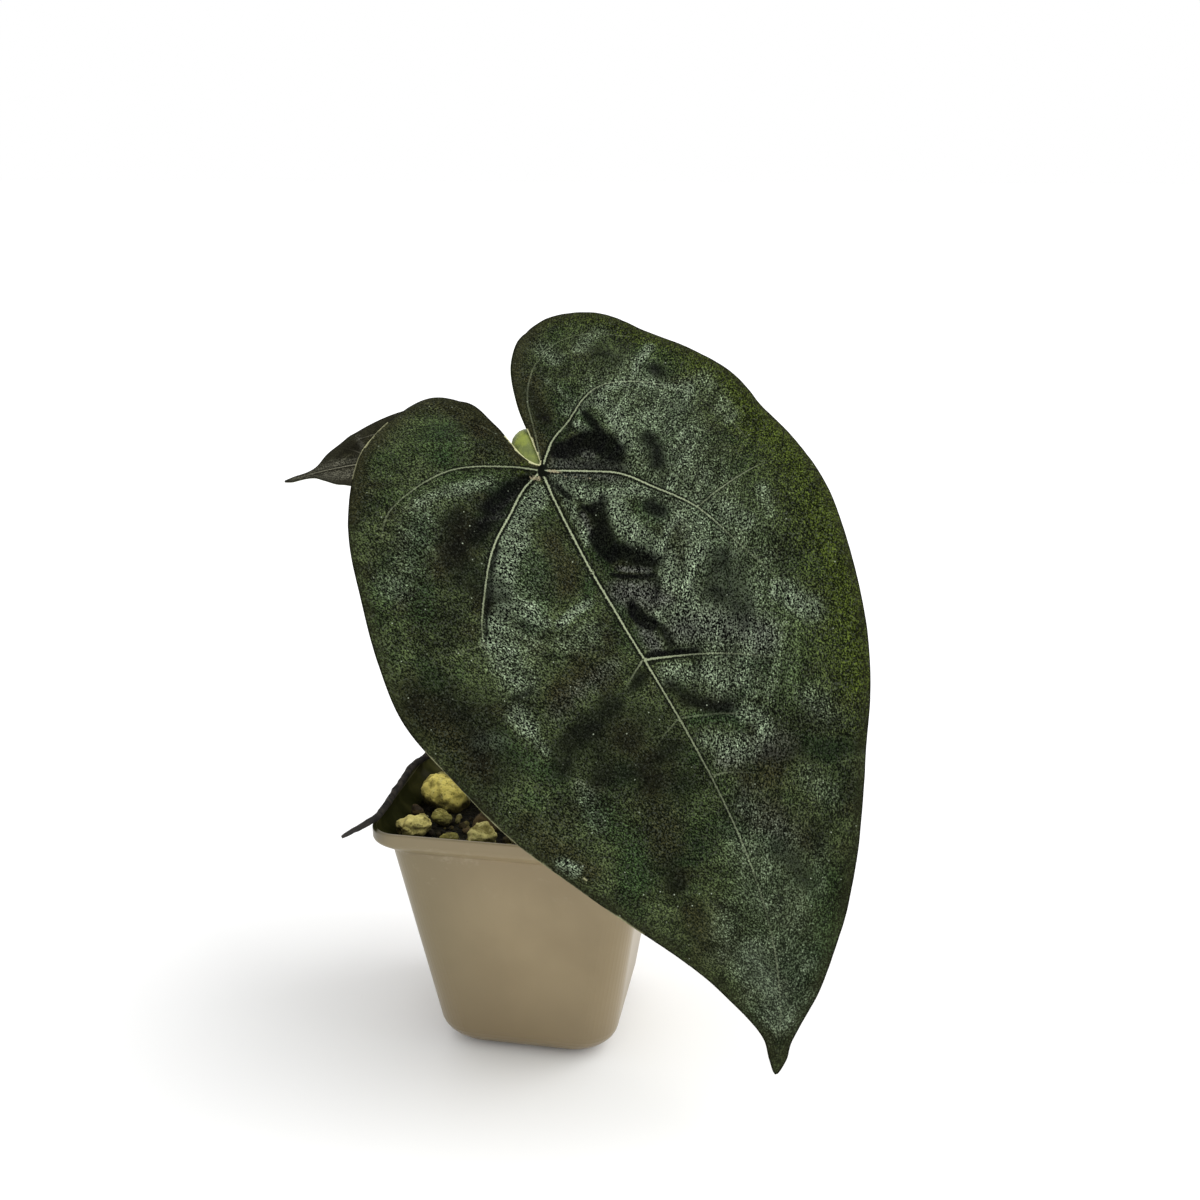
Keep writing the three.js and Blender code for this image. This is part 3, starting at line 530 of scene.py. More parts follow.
def grit_shapes():
    """A few broken grains to copy: small icospheres with their corners knocked in"""
    shapes = []
    for kind in range(GRIT_KINDS):
        bpy.ops.mesh.primitive_ico_sphere_add(subdivisions=2, radius=1)
        grain = bpy.context.object
        for vertex in grain.data.vertices:
            knock = noise.noise(vertex.co * 1.3 + Vector((kind * 9, 0, 0)))
            vertex.co = vertex.co * (1 + 0.45 * knock)
            vertex.co.z *= 0.6 + 0.08 * kind
        shapes.append(np.array([v.co for v in grain.data.vertices]))
        faces = [tuple(f.vertices) for f in grain.data.polygons]
        bpy.data.objects.remove(grain)
    return shapes, faces


def throw_grit(draw):
    """Grains dropped over the mix, each turned and sized by a seeded draw"""
    shapes, faces = grit_shapes()
    points, sides, tones = [], [], []
    for n in range(GRIT_COUNT):
        x, y = draw.uniform(-GRIT_HALF, GRIT_HALF), draw.uniform(-GRIT_HALF, GRIT_HALF)
        size = draw.uniform(*(GRIT_SMALL if n % 3 else GRIT_LARGE))
        if math.hypot(x, y) < STEM_GAP + size or max(abs(x), abs(y)) + size > GRIT_HALF + 0.6:
            continue
        if math.hypot(max(abs(x) - GRIT_FLAT, 0), max(abs(y) - GRIT_FLAT, 0)) + size > GRIT_CORNER:
            continue
        turn = draw.uniform(0, 2 * math.pi)
        cos, sin = math.cos(turn), math.sin(turn)
        a, b, c = (shapes[n % GRIT_KINDS] * size).T
        turned = np.stack([a * cos - b * sin, a * sin + b * cos, c], axis=1)
        start = sum(len(p) for p in points)
        points.append(turned + (x, y, mix_top(x, y) + size * 0.35))
        sides.extend(tuple(i + start for i in face) for face in faces)
        tones.extend([draw.random() ** 1.7] * len(turned))
    return np.concatenate(points) * MM, sides, tones


def mesh_piece(name, points, faces):
    made = bpy.data.meshes.new(name)
    made.from_pydata([tuple(p) for p in points], [], faces)
    return add_object(name, made)


grit_points, grit_faces, grit_tones = throw_grit(random.Random(GRIT_SEED))
grit = mesh_piece("loose_grit", grit_points, grit_faces)
give_values(grit, "tone", grit_tones)
bpy.ops.object.shade_smooth_by_angle(angle=math.radians(35))
finish_piece(grit, grit_finish(), "mix")


# Stem
# A short upright caudex, brown and corky, half sunk in the mix, ringed by the scars of old leaves and by
# the torn fibres of their sheaths.
STEM_RADIUS = 6.5
STEM_FOOT = 46
STEM_TOP = 82


def stem_finish():
    place, finished = new_finish("stem_cork")
    cloud = place.grain(4, 4)
    fibre = place.grain(1.1, 4, stretch=(1, 1, 0.2))
    height = place.axis(2)
    colour = layered(
        cloud.ramp(0.35, 0.7).mix((70, 54, 34), (112, 94, 58)),
        (fibre.ramp(0.5, 0.75) * 0.6, (44, 34, 22)),
        (height.ramp(STEM_TOP - 6, STEM_TOP) * 0.6, (104, 112, 62)),
    )
    return finished(colour, 0.85, 0.25, (fibre + cloud, 0.5, 0.8))


def stem_rings(rows=56, sides=48):
    rings = []
    for row in range(rows + 1):
        t = row / rows
        taper = 0.72 + 0.28 * min(1, t * 1.6)
        scar = 0.34 * math.sin(t * 4.5 * 2 * math.pi) ** 3
        cap = math.sqrt(max(0.0, 1 - max(0, (t - 0.88) / 0.12) ** 2.2))
        z = STEM_FOOT + (STEM_TOP - STEM_FOOT) * t
        ring = []
        for i in range(sides):
            angle = 2 * math.pi * i / sides
            rough = 0.28 * noise.noise(Vector((math.cos(angle) * 3, math.sin(angle) * 3, z / 2.2)))
            radius = max(0.15, (STEM_RADIUS * taper + scar + rough - 0.1) * cap)
            ring.append((radius * math.cos(angle), radius * math.sin(angle), z))
        rings.append(ring)
    return rings


stem = ring_body("stem_caudex", stem_rings())
bpy.ops.object.shade_smooth()
finish_piece(stem, stem_finish(), "stem", "stem")


# Aerial roots
# Round roots that spring from the stem. A dead one, dry and nearly black, lies along the left lip and
# juts over the front left corner; two live ones arch over the lumps and go down into the mix.
def smooth_line(points, spacing, closed=False):
    """Evenly spaced points on a centripetal Catmull-Rom line through the given ones"""
    p = np.array(points, float)
    ends = [p[-1:], p[:2]] if closed else [2 * p[:1] - p[1:2], 2 * p[-1:] - p[-2:-1]]
    knots = np.vstack([ends[0], p, ends[1]])
    t = np.linspace(0, 1, 24, endpoint=False)[:, None]
    spans = []
    for a, b, c, d in zip(knots, knots[1:], knots[2:], knots[3:]):
        ab, bc, cd = (math.sqrt(np.linalg.norm(y - x)) for x, y in ((a, b), (b, c), (c, d)))
        start = bc * ((b - a) / ab - (c - a) / (ab + bc) + (c - b) / bc)
        end = bc * ((c - b) / bc - (d - b) / (bc + cd) + (d - c) / cd)
        spans.append((2 * t**3 - 3 * t**2 + 1) * b + (t**3 - 2 * t**2 + t) * start
                     + (3 * t**2 - 2 * t**3) * c + (t**3 - t**2) * end)
    fine = np.vstack([*spans, p[:1] if closed else p[-1:]])
    reach = np.concatenate([[0], np.cumsum(np.linalg.norm(np.diff(fine, axis=0), axis=1))])
    at = np.linspace(0, reach[-1], max(2, round(reach[-1] / spacing)) + 1)
    line = np.stack([np.interp(at, reach, fine[:, k]) for k in range(p.shape[1])], axis=1)
    return line[:-1] if closed else line


def rod(name, points, radii, spacing=1.2, sides=20):
    """A round rod along a smooth line with a radius at each of its points: a bevelled curve made a mesh"""
    line = smooth_line(points, spacing)
    knots = [int(np.argmin(np.linalg.norm(line - p, axis=1))) for p in np.array(points, float)]
    reach = np.linspace(0, 1, len(line))
    widths = np.interp(reach, reach[knots], radii)
    curve = bpy.data.curves.new(name, "CURVE")
    curve.dimensions = "3D"
    curve.bevel_depth = MM
    curve.bevel_resolution = sides // 4
    curve.use_fill_caps = True
    spline = curve.splines.new("POLY")
    spline.points.add(len(line) - 1)
    for knot, place, width in zip(spline.points, line, widths):
        knot.co = (*(place * MM), 1)
        knot.radius = width
    add_object(name, curve)
    bpy.ops.object.convert(target="MESH")
    piece = bpy.context.object
    face_outwards(weld=0.01)
    skin = np.array([v.co for v in piece.data.vertices]) / MM
    give_values(piece, "along", [reach[np.argmin(((line - p) ** 2).sum(1))] for p in skin])
    return piece


def roughen(piece, size, depth):
    """Moves each vertex in or out by noise of a size, both in mm"""
    piece.data.update()
    moves = [v.normal * noise.noise(v.co / (size * MM)) * depth * MM for v in piece.data.vertices]
    for vertex, move in zip(piece.data.vertices, moves):
        vertex.co += move


def root_finish(name, pale, dark, tip):
    place, finished = new_finish(name)
    cloud = place.grain(2.2, 4)
    colour = layered(
        cloud.ramp(0.35, 0.68).mix(dark, pale),
        (place.attribute("along").ramp(0.75, 1) * 0.6, tip),
        (place.grain(0.5, 3).ramp(0.55, 0.7) * 0.4, dark),
    )
    return finished(colour, 0.85, 0.2, (cloud + place.grain(0.45, 3) * 0.5, 0.3, 0.7))


root_routes = {
    "dry_root_over_corner": (
        [(-3, -1, 75), (-9, 1.5, 80), (-21, 9, 81.5), (-33.5, 11.5, 78.8), (-39, 4, 77.4),
         (-39.2, -14, 77.3), (-38.9, -33, 77.5), (-41.5, -38.8, 77.2), (-46, -41.5, 75)],
        [1.5, 1.3, 1.1, 1, 1, 1, 1, 0.8, 0.45],
    ),
    "aerial_root_right": (
        [(2, 1, 74), (9, 6, 80), (17, 12, 80.5), (23, 17, 75), (25, 19, 63), (24, 21, 52)],
        [1.9, 1.7, 1.6, 1.5, 1.4, 1],
    ),
    "aerial_root_left": (
        [(-1, 2, 70), (-4, 10, 77.5), (-9, 18, 79), (-13, 24, 73), (-14, 26, 62), (-13, 26, 51)],
        [1.8, 1.6, 1.5, 1.4, 1.3, 0.9],
    ),
}
dry_skin = root_finish("root_dry", (52, 46, 40), (17, 15, 13), (66, 64, 62))
live_skin = root_finish("root_live", (150, 138, 104), (92, 78, 50), (120, 112, 70))
for node, (points, radii) in root_routes.items():
    root = rod(node + "_skin", points, radii)
    roughen(root, size=3.0, depth=0.28)
    roughen(root, size=0.9, depth=0.12)
    bpy.ops.object.shade_smooth()
    dry = node.startswith("dry")
    finish_piece(root, dry_skin if dry else live_skin, "dry_root" if dry else "root", node)


# Dry sheaths
# Papery brown bracts that once wrapped the young leaves. They stand round the stem's top, parted into
# fibres at their torn tips.
def sheath_finish():
    place, finished = new_finish("sheath_paper")
    fibre = place.grain(0.9, 4, stretch=(1, 1, 0.1))
    colour = place.grain(5, 3).ramp(0.35, 0.7).mix((120, 92, 56), (88, 64, 38))
    colour = layered(colour, (fibre.ramp(0.52, 0.7) * 0.7, (54, 38, 22)))
    return finished(colour, 0.8, 0.25, (fibre, 0.35, 0.8))


def sheath(name, turn, reach, height, foot=72, thickness=0.45):
    """A curved sheet from a grid: bent round the stem, narrowed to a torn tip and given its thickness"""
    wrap = STEM_RADIUS + 1.1
    bpy.ops.mesh.primitive_grid_add(x_subdivisions=20, y_subdivisions=36, size=2)
    piece = bpy.context.object
    piece.name = piece.data.name = name
    for vertex in piece.data.vertices:
        s, t = vertex.co.x, (vertex.co.y + 1) / 2
        width = np.interp(t, [0, 0.3, 0.6, 0.88, 1], [1, 1.05, 0.78, 0.3, 0.04]) * reach
        v = t * height * (1 - 0.05 * abs(noise.noise(Vector((s * 5, 0, turn)))) * (t > 0.5))
        radius = wrap + 0.012 * max(v - 6, 0) ** 2 + 0.25 * noise.noise(Vector((s * 3, v / 5, turn)))
        angle = math.radians(turn) + s * width / wrap
        vertex.co = Vector((radius * math.cos(angle), radius * math.sin(angle), foot + v)) * MM
    face_outwards(weld=0.02)
    sheet = piece.modifiers.new("sheet", "SOLIDIFY")
    sheet.thickness = thickness * MM
    sheet.offset = 0
    bpy.ops.object.modifier_apply(modifier=sheet.name)
    bpy.ops.object.shade_smooth_by_angle(angle=math.radians(40))
    return piece


sheath_skin = sheath_finish()
right_sheath = sheath("sheath_right", turn=-52, reach=5.6, height=24)
finish_piece(right_sheath, sheath_skin, "sheath", "dry_sheath_right")
left_sheath = sheath("sheath_left", turn=-140, reach=3.8, height=17)
finish_piece(left_sheath, sheath_skin, "sheath", "dry_sheath_left")


# Leaf sheets
# A blade is one thin sheet, ribbed by its veins and held at its base by the stalk. It is grown from a flat
# drawing in mm, where u runs across to the viewer's right and v from the stalk to the tip: a cubic midrib
# bends the sheet, its facing turns from base to tip, and a lift swells it.
VEIN_REACH = 1.4
FILL_SEED = 8


class Blade:
    """The bent sheet of one leaf, and the flat drawing of its outline and veins"""

    def __init__(self, midrib, length, azimuth, elevations, outline, veins, lift):
        self.midrib = np.array(midrib, float)
        self.length = length
        self.azimuth = math.radians(azimuth)
        self.elevations = elevations
        self.outline = outline
        self.veins = veins
        self.lift = lift

    def frame(self, v):
        """Midrib points, and the directions along, facing and across there"""
        t = np.clip(v / self.length, 0, 1)[:, None]
        a, b, c, d = self.midrib
        spine = (1 - t) ** 3 * a + 3 * (1 - t) ** 2 * t * b + 3 * (1 - t) * t**2 * c + t**3 * d
        along = 3 * (1 - t) ** 2 * (b - a) + 6 * (1 - t) * t * (c - b) + 3 * t**2 * (d - c)
        along /= np.linalg.norm(along, axis=1, keepdims=True)
        first, last = self.elevations
        rise = np.radians(first + (last - first) * t[:, 0])
        sin, cos = math.sin(self.azimuth), math.cos(self.azimuth)
        facing = np.stack([sin * np.cos(rise), -cos * np.cos(rise), np.sin(rise)], 1)
        facing -= (facing * along).sum(1, keepdims=True) * along
        facing /= np.linalg.norm(facing, axis=1, keepdims=True)
        spine = spine + along * (np.minimum(v, 0) + np.maximum(v - self.length, 0))[:, None]
        return spine, along, facing, np.cross(facing, along)

    def place(self, flat):
        """Points of the bent sheet for flat points, in mm"""
        spine, along, facing, across = self.frame(flat[:, 1])
        return spine + across * flat[:, :1] + facing * self.lift(flat[:, 0], flat[:, 1])[:, None]

    def push_behind(self, piece, gap):
        """Moves what would stand through the sheet or its sinus to a gap behind the sheet"""
        points = np.array([v.co for v in piece.data.vertices]) / MM
        v = np.zeros(len(points))
        for _ in range(8):
            spine, along, facing, across = self.frame(v)
            v = np.clip(v + ((points - spine) * along).sum(1), -30, 20)
        spine, along, facing, across = self.frame(v)
        u = ((points - spine) * across).sum(1)
        height = ((points - spine) * facing).sum(1)
        by_sinus = (np.abs(u) < 12) & (v > -25) & (v < 12) & (height > -9)
        ceiling = self.lift(u, v) - gap
        drop = np.where(by_sinus, np.minimum(height, ceiling) - height, 0)
        piece.data.vertices.foreach_set("co", ((points + facing * drop[:, None]) * MM).ravel())
        piece.data.update()


def gap_to_line(u, v, line):
    """Distance of flat points to one line, and how far along it they are, from 0 to 1"""
    a, b = line[:-1], line[1:]
    step = b - a
    du, dv = u[:, None] - a[:, 0], v[:, None] - a[:, 1]
    t = np.clip((du * step[:, 0] + dv * step[:, 1]) / (step**2).sum(1), 0, 1)
    gaps = np.hypot(du - t * step[:, 0], dv - t * step[:, 1])
    best = gaps.argmin(1)
    rows = np.arange(len(u))
    return gaps[rows, best], (best + t[rows, best]) / len(a)


def gap_to_lines(u, v, lines):
    return np.min([gap_to_line(u, v, line)[0] for line in lines], axis=0)


def flat_net(outline, veins, spacing):
    """Flat points and triangles: the margin, the veins with their feet, and a filling of even points"""
    rim = smooth_line(outline, 0.9, closed=True)
    cell = spacing * 0.7
    taken = {}

    def add(points, apart):
        kept = []
        for u, v in points:
            i, j = int(u // cell), int(v // cell)
            near = [q for di in (-1, 0, 1) for dj in (-1, 0, 1) for q in taken.get((i + di, j + dj), ())]
            if all((u - q[0]) ** 2 + (v - q[1]) ** 2 > apart**2 for q in near):
                taken.setdefault((i, j), []).append((u, v))
                kept.append((u, v))
        return kept

    points = add(rim, 0)
    for line, _ in veins:
        points += add(line, 0.3)
    for line, _ in veins:
        side = np.gradient(line, axis=0)
        side = np.stack([-side[:, 1], side[:, 0]], 1) / np.linalg.norm(side, axis=1, keepdims=True)
        for offset in (0.4, -0.4, 1.1, -1.1):
            points += add(line + side * offset, 0.33)
    low, high = rim.min(0), rim.max(0)
    draw = random.Random(FILL_SEED)
    rows = np.arange(low[1], high[1], spacing * 0.87)
    fill = [(u + (spacing / 2 if row % 2 else 0) + draw.uniform(-0.15, 0.15), v + draw.uniform(-0.15, 0.15))
            for row, v in enumerate(rows) for u in np.arange(low[0], high[0], spacing)]
    points += add(fill, spacing * 0.62)
    loop = list(range(len(rim)))
    edges = list(zip(loop, loop[1:] + loop[:1]))
    corners = [Vector(p) for p in points]
    flat, _, faces, origins, _, _ = geometry.delaunay_2d_cdt(corners, edges, [loop], 1, 1e-5)
    used = sorted({corner for face in faces for corner in face})
    order = {old: new for new, old in enumerate(used)}
    where = {given: order[new] for new, olds in enumerate(origins) if new in order for given in olds}
    faces = [tuple(order[corner] for corner in face) for face in faces]
    return np.array(flat)[used], faces, [where[i] for i in loop], rim


def vertex_normals(points, faces):
    corners = points[np.array(faces)]
    across = np.cross(corners[:, 1] - corners[:, 0], corners[:, 2] - corners[:, 0])
    normals = np.zeros_like(points)
    for k in range(3):
        np.add.at(normals, np.array(faces)[:, k], across)
    return normals / np.linalg.norm(normals, axis=1, keepdims=True)


def give_both(piece, zones):
    """Stores what is known at the points of a flat net, for both faces"""
    for key, values in zones.items():
        give_values(piece, key, np.concatenate([values, values]))


def grow_blade(name, blade, spacing, thickness, rises):
    """Both faces of a leaf from its flat net, joined along the margin, with what its material reads"""
    veins = [(smooth_line(points, 0.8), strength) for points, strength in blade.veins]
    flat, faces, loop, rim = flat_net(blade.outline, veins, spacing)
    u, v = flat[:, 0], flat[:, 1]
    middle = blade.place(flat)
    faces = [face[::-1] for face in faces]
    normals = vertex_normals(middle, faces)
    count = len(flat)
    nearest = np.full(count, VEIN_REACH)
    power, ridge = np.zeros(count), np.zeros(count)
    for line, strength in veins:
        gap, along = gap_to_line(u, v, line)
        here = np.interp(along, np.linspace(0, 1, len(strength)), strength)
        power = np.where(gap < nearest, here, power)
        nearest = np.minimum(gap, nearest)
        ridge = np.maximum(ridge, here * np.clip(1 - gap / VEIN_REACH, 0, 1))
    vein = np.clip(1 - nearest / (0.27 + 0.23 * power), 0, 1)
    margin = gap_to_lines(u, v, [np.vstack([rim, rim[:1]])])
    slim = thickness * (0.55 + 0.45 * np.clip(margin / 1.5, 0, 1))
    over, under = rises
    upper = middle + normals * (slim / 2 + ridge * over)[:, None]
    lower = middle - normals * (slim / 2 + ridge * under)[:, None]
    back = [tuple(corner + count for corner in face[::-1]) for face in faces]
    rim_faces = [(i, i + count, j + count, j) for i, j in zip(loop, loop[1:] + loop[:1])]
    piece = mesh_piece(name, np.vstack([upper, lower]) * MM, faces + back + rim_faces)
    face_outwards()
    bpy.ops.object.shade_smooth()
    give_both(piece, {"vein": vein, "power": power, "ridge": ridge})
    give_both(piece, {"margin": margin, "across": u, "along": v})
    give_values(piece, "under", np.repeat([0.0, 1.0], count))
    return piece, flat


def strokes(flat, painted):
    """The greatest amount of soft brush strokes at each flat point"""
    total = np.zeros(len(flat))
    for width, amount, points in painted:
        line = np.array(points, float)
        if len(line) == 1:
            line = np.vstack([line, line + (0.1, 0)])
        gap, _ = gap_to_line(flat[:, 0], flat[:, 1], line)
        total = np.maximum(total, amount * np.exp(-((gap / width) ** 2)))
    return total


# Main leaf blade
# One large pendant heart, velvety and nearly black-green, quilted between pale sunken veins, with the
# silvery sheen of its pile painted on the crowns, purple-black painted shade in the folds next to the midrib
# and an olive right margin.
main_outline = [
    (0.2, -1.5), (0.6, -8), (0.6, -20), (3.5, -33), (13, -45.5), (23.5, -48.5), (34.5, -44.5),
    (45.5, -29.5), (58.5, -9), (62.3, 3.5), (66, 20), (65, 42), (59.5, 63), (46, 88.5), (36.5, 102.5),
    (25, 121), (11, 146), (3.2, 161), (2.3, 166), (0.1, 169.8), (-2, 166.2), (-3.9, 161), (-14, 147.3),
    (-31.4, 120.5), (-42.2, 99.8), (-51, 79), (-56, 60), (-59.8, 42), (-58.5, 29), (-55.5, 15),
    (-52.5, 2), (-43.2, -19), (-30.8, -31), (-19, -36), (-11.2, -30), (-6.4, -17), (-2.6, -4.5),
]
main_primaries = [
    ([(0, 0.6), (0, 55), (0, 110), (0, 165)], (1, 1, 0.85, 0.6, 0.42, 0.36, 0.3, 0.3, 0.2)),
    ([(0, 0.6), (10.4, 4.6), (18.8, 9.8), (25.1, 18), (32, 28.6), (36.5, 44), (41, 60.6), (44, 75)],
     (1, 0.9, 0.7, 0.5, 0.3, 0.2, 0.15)),
    ([(0, 0.6), (5.6, -6.9), (12, -11.5), (19.1, -17.2), (24.5, -19), (33.7, -16.5), (41, -11.5),
      (48.7, -2.6), (53, 9.6), (54.5, 24)], (0.7, 0.6, 0.5, 0.35, 0.25, 0.28, 0.25, 0.1)),
    ([(1, -3), (2.4, -12), (3.8, -21), (7, -28), (12.2, -34.5), (18.5, -38.5), (28, -38.5), (38, -33)],
     (0.3, 0.25)),
    ([(0, 0.6), (-6.3, 4.1), (-12.2, 9.3), (-20, 15.9), (-27.3, 25.3), (-32.7, 34), (-34.2, 42), (-36, 56),
      (-36, 66), (-35, 78), (-30, 92)], (0.9, 0.8, 0.7, 0.5, 0.16, 0.16, 0.14, 0.14, 0.1)),
    ([(0, 0.6), (-7.7, -3.7), (-15.3, -6.3), (-23.3, -7.1), (-34, -4), (-43, 2), (-47, 12), (-49, 24)],
     (0.55, 0.5, 0.4, 0.2, 0.12)),
    ([(-1.6, -4), (-5.5, -11), (-10, -19), (-15.5, -25), (-23, -26.5), (-32, -21), (-40, -12)], (0.2, 0.2)),
]
main_laterals = [
    ([(0, 31), (9, 36.5), (18, 43), (27, 52)], (0.12, 0.04)),
    ([(0, 57.5), (8, 60.7), (15.6, 64.4), (23, 69), (31, 75), (38, 82)], (0.7, 0.45, 0.25, 0.12)),
    ([(0, 74), (11, 78.7), (22, 86), (31, 95)], (0.3, 0.09)),
    ([(0, 90), (6, 92), (13, 97), (22, 107)], (0.35, 0.12, 0.05)),
    ([(0, 109), (8, 113), (16, 121)], (0.25, 0.07)), ([(0, 127), (6, 131), (10, 137)], (0.2, 0.06)),
    ([(0, 31), (-9, 36), (-19, 42), (-29, 47)], (0.12, 0.04)),
    ([(0, 57), (-6, 60), (-16, 66), (-29, 72)], (0.5, 0.14, 0.06, 0.05)),
    ([(0, 74), (-7, 76.5), (-16, 83), (-28, 92)], (0.35, 0.12, 0.05)),
    ([(0, 91.5), (-7, 95), (-15, 102), (-24, 111)], (0.25, 0.07)),
    ([(0, 110), (-8, 114), (-17, 122)], (0.2, 0.06)), ([(0, 128), (-6, 132), (-10, 138)], (0.15, 0.04)),
    ([(32, 29), (40, 27), (52, 25.3), (59, 26)], (0.4, 0.42, 0.35, 0.15)),
    ([(37.5, 48), (44, 54), (51, 58)], (0.2, 0.06)), ([(-33, 36), (-42, 34), (-52, 31)], (0.28, 0.22, 0.1)),
    ([(-35.5, 60), (-43, 66), (-49, 70)], (0.2, 0.06)), ([(-24, -7), (-31, -14), (-35, -22)], (0.2, 0.06)),
]
# Folds pressed into the sheet beside the main veins near the stalk
main_folds = [
    (1.7, 1.0, [(5.4, -3.2), (8, -3.8), (11.5, -3.7), (14, -4.2)]),
    (2.2, 1.0, [(14.5, -4.2), (16.6, -3), (18.4, -0.5), (19.7, 2.2), (20, 4.8)]),
    (2.1, 1.0, [(-5, 1.6), (-9, 2.2), (-13, 4.3), (-16, 5.6)]),
    (2.7, 0.74, [(8.6, 17.5), (8, 21), (7, 25), (7.6, 29), (10.4, 31.6), (13, 34.4), (15, 37)]),
    (0.7, 0.85, [(5.8, 15), (8.4, 18)]), (0.9, 0.8, [(11.6, 14.2), (9.2, 18.5)]),
    (0.8, 0.8, [(1.6, 4.5), (3.6, 10.5)]), (1.4, 0.8, [(4.6, 43.6), (4.2, 46), (5, 48.6), (7, 51)]),
    (1.2, 0.45, [(13.6, 40.6), (13, 43), (10, 45.4)]),
    (1.0, 1.0, [(1.5, 57), (4, 58), (8, 59.8), (12.5, 62)]),
]
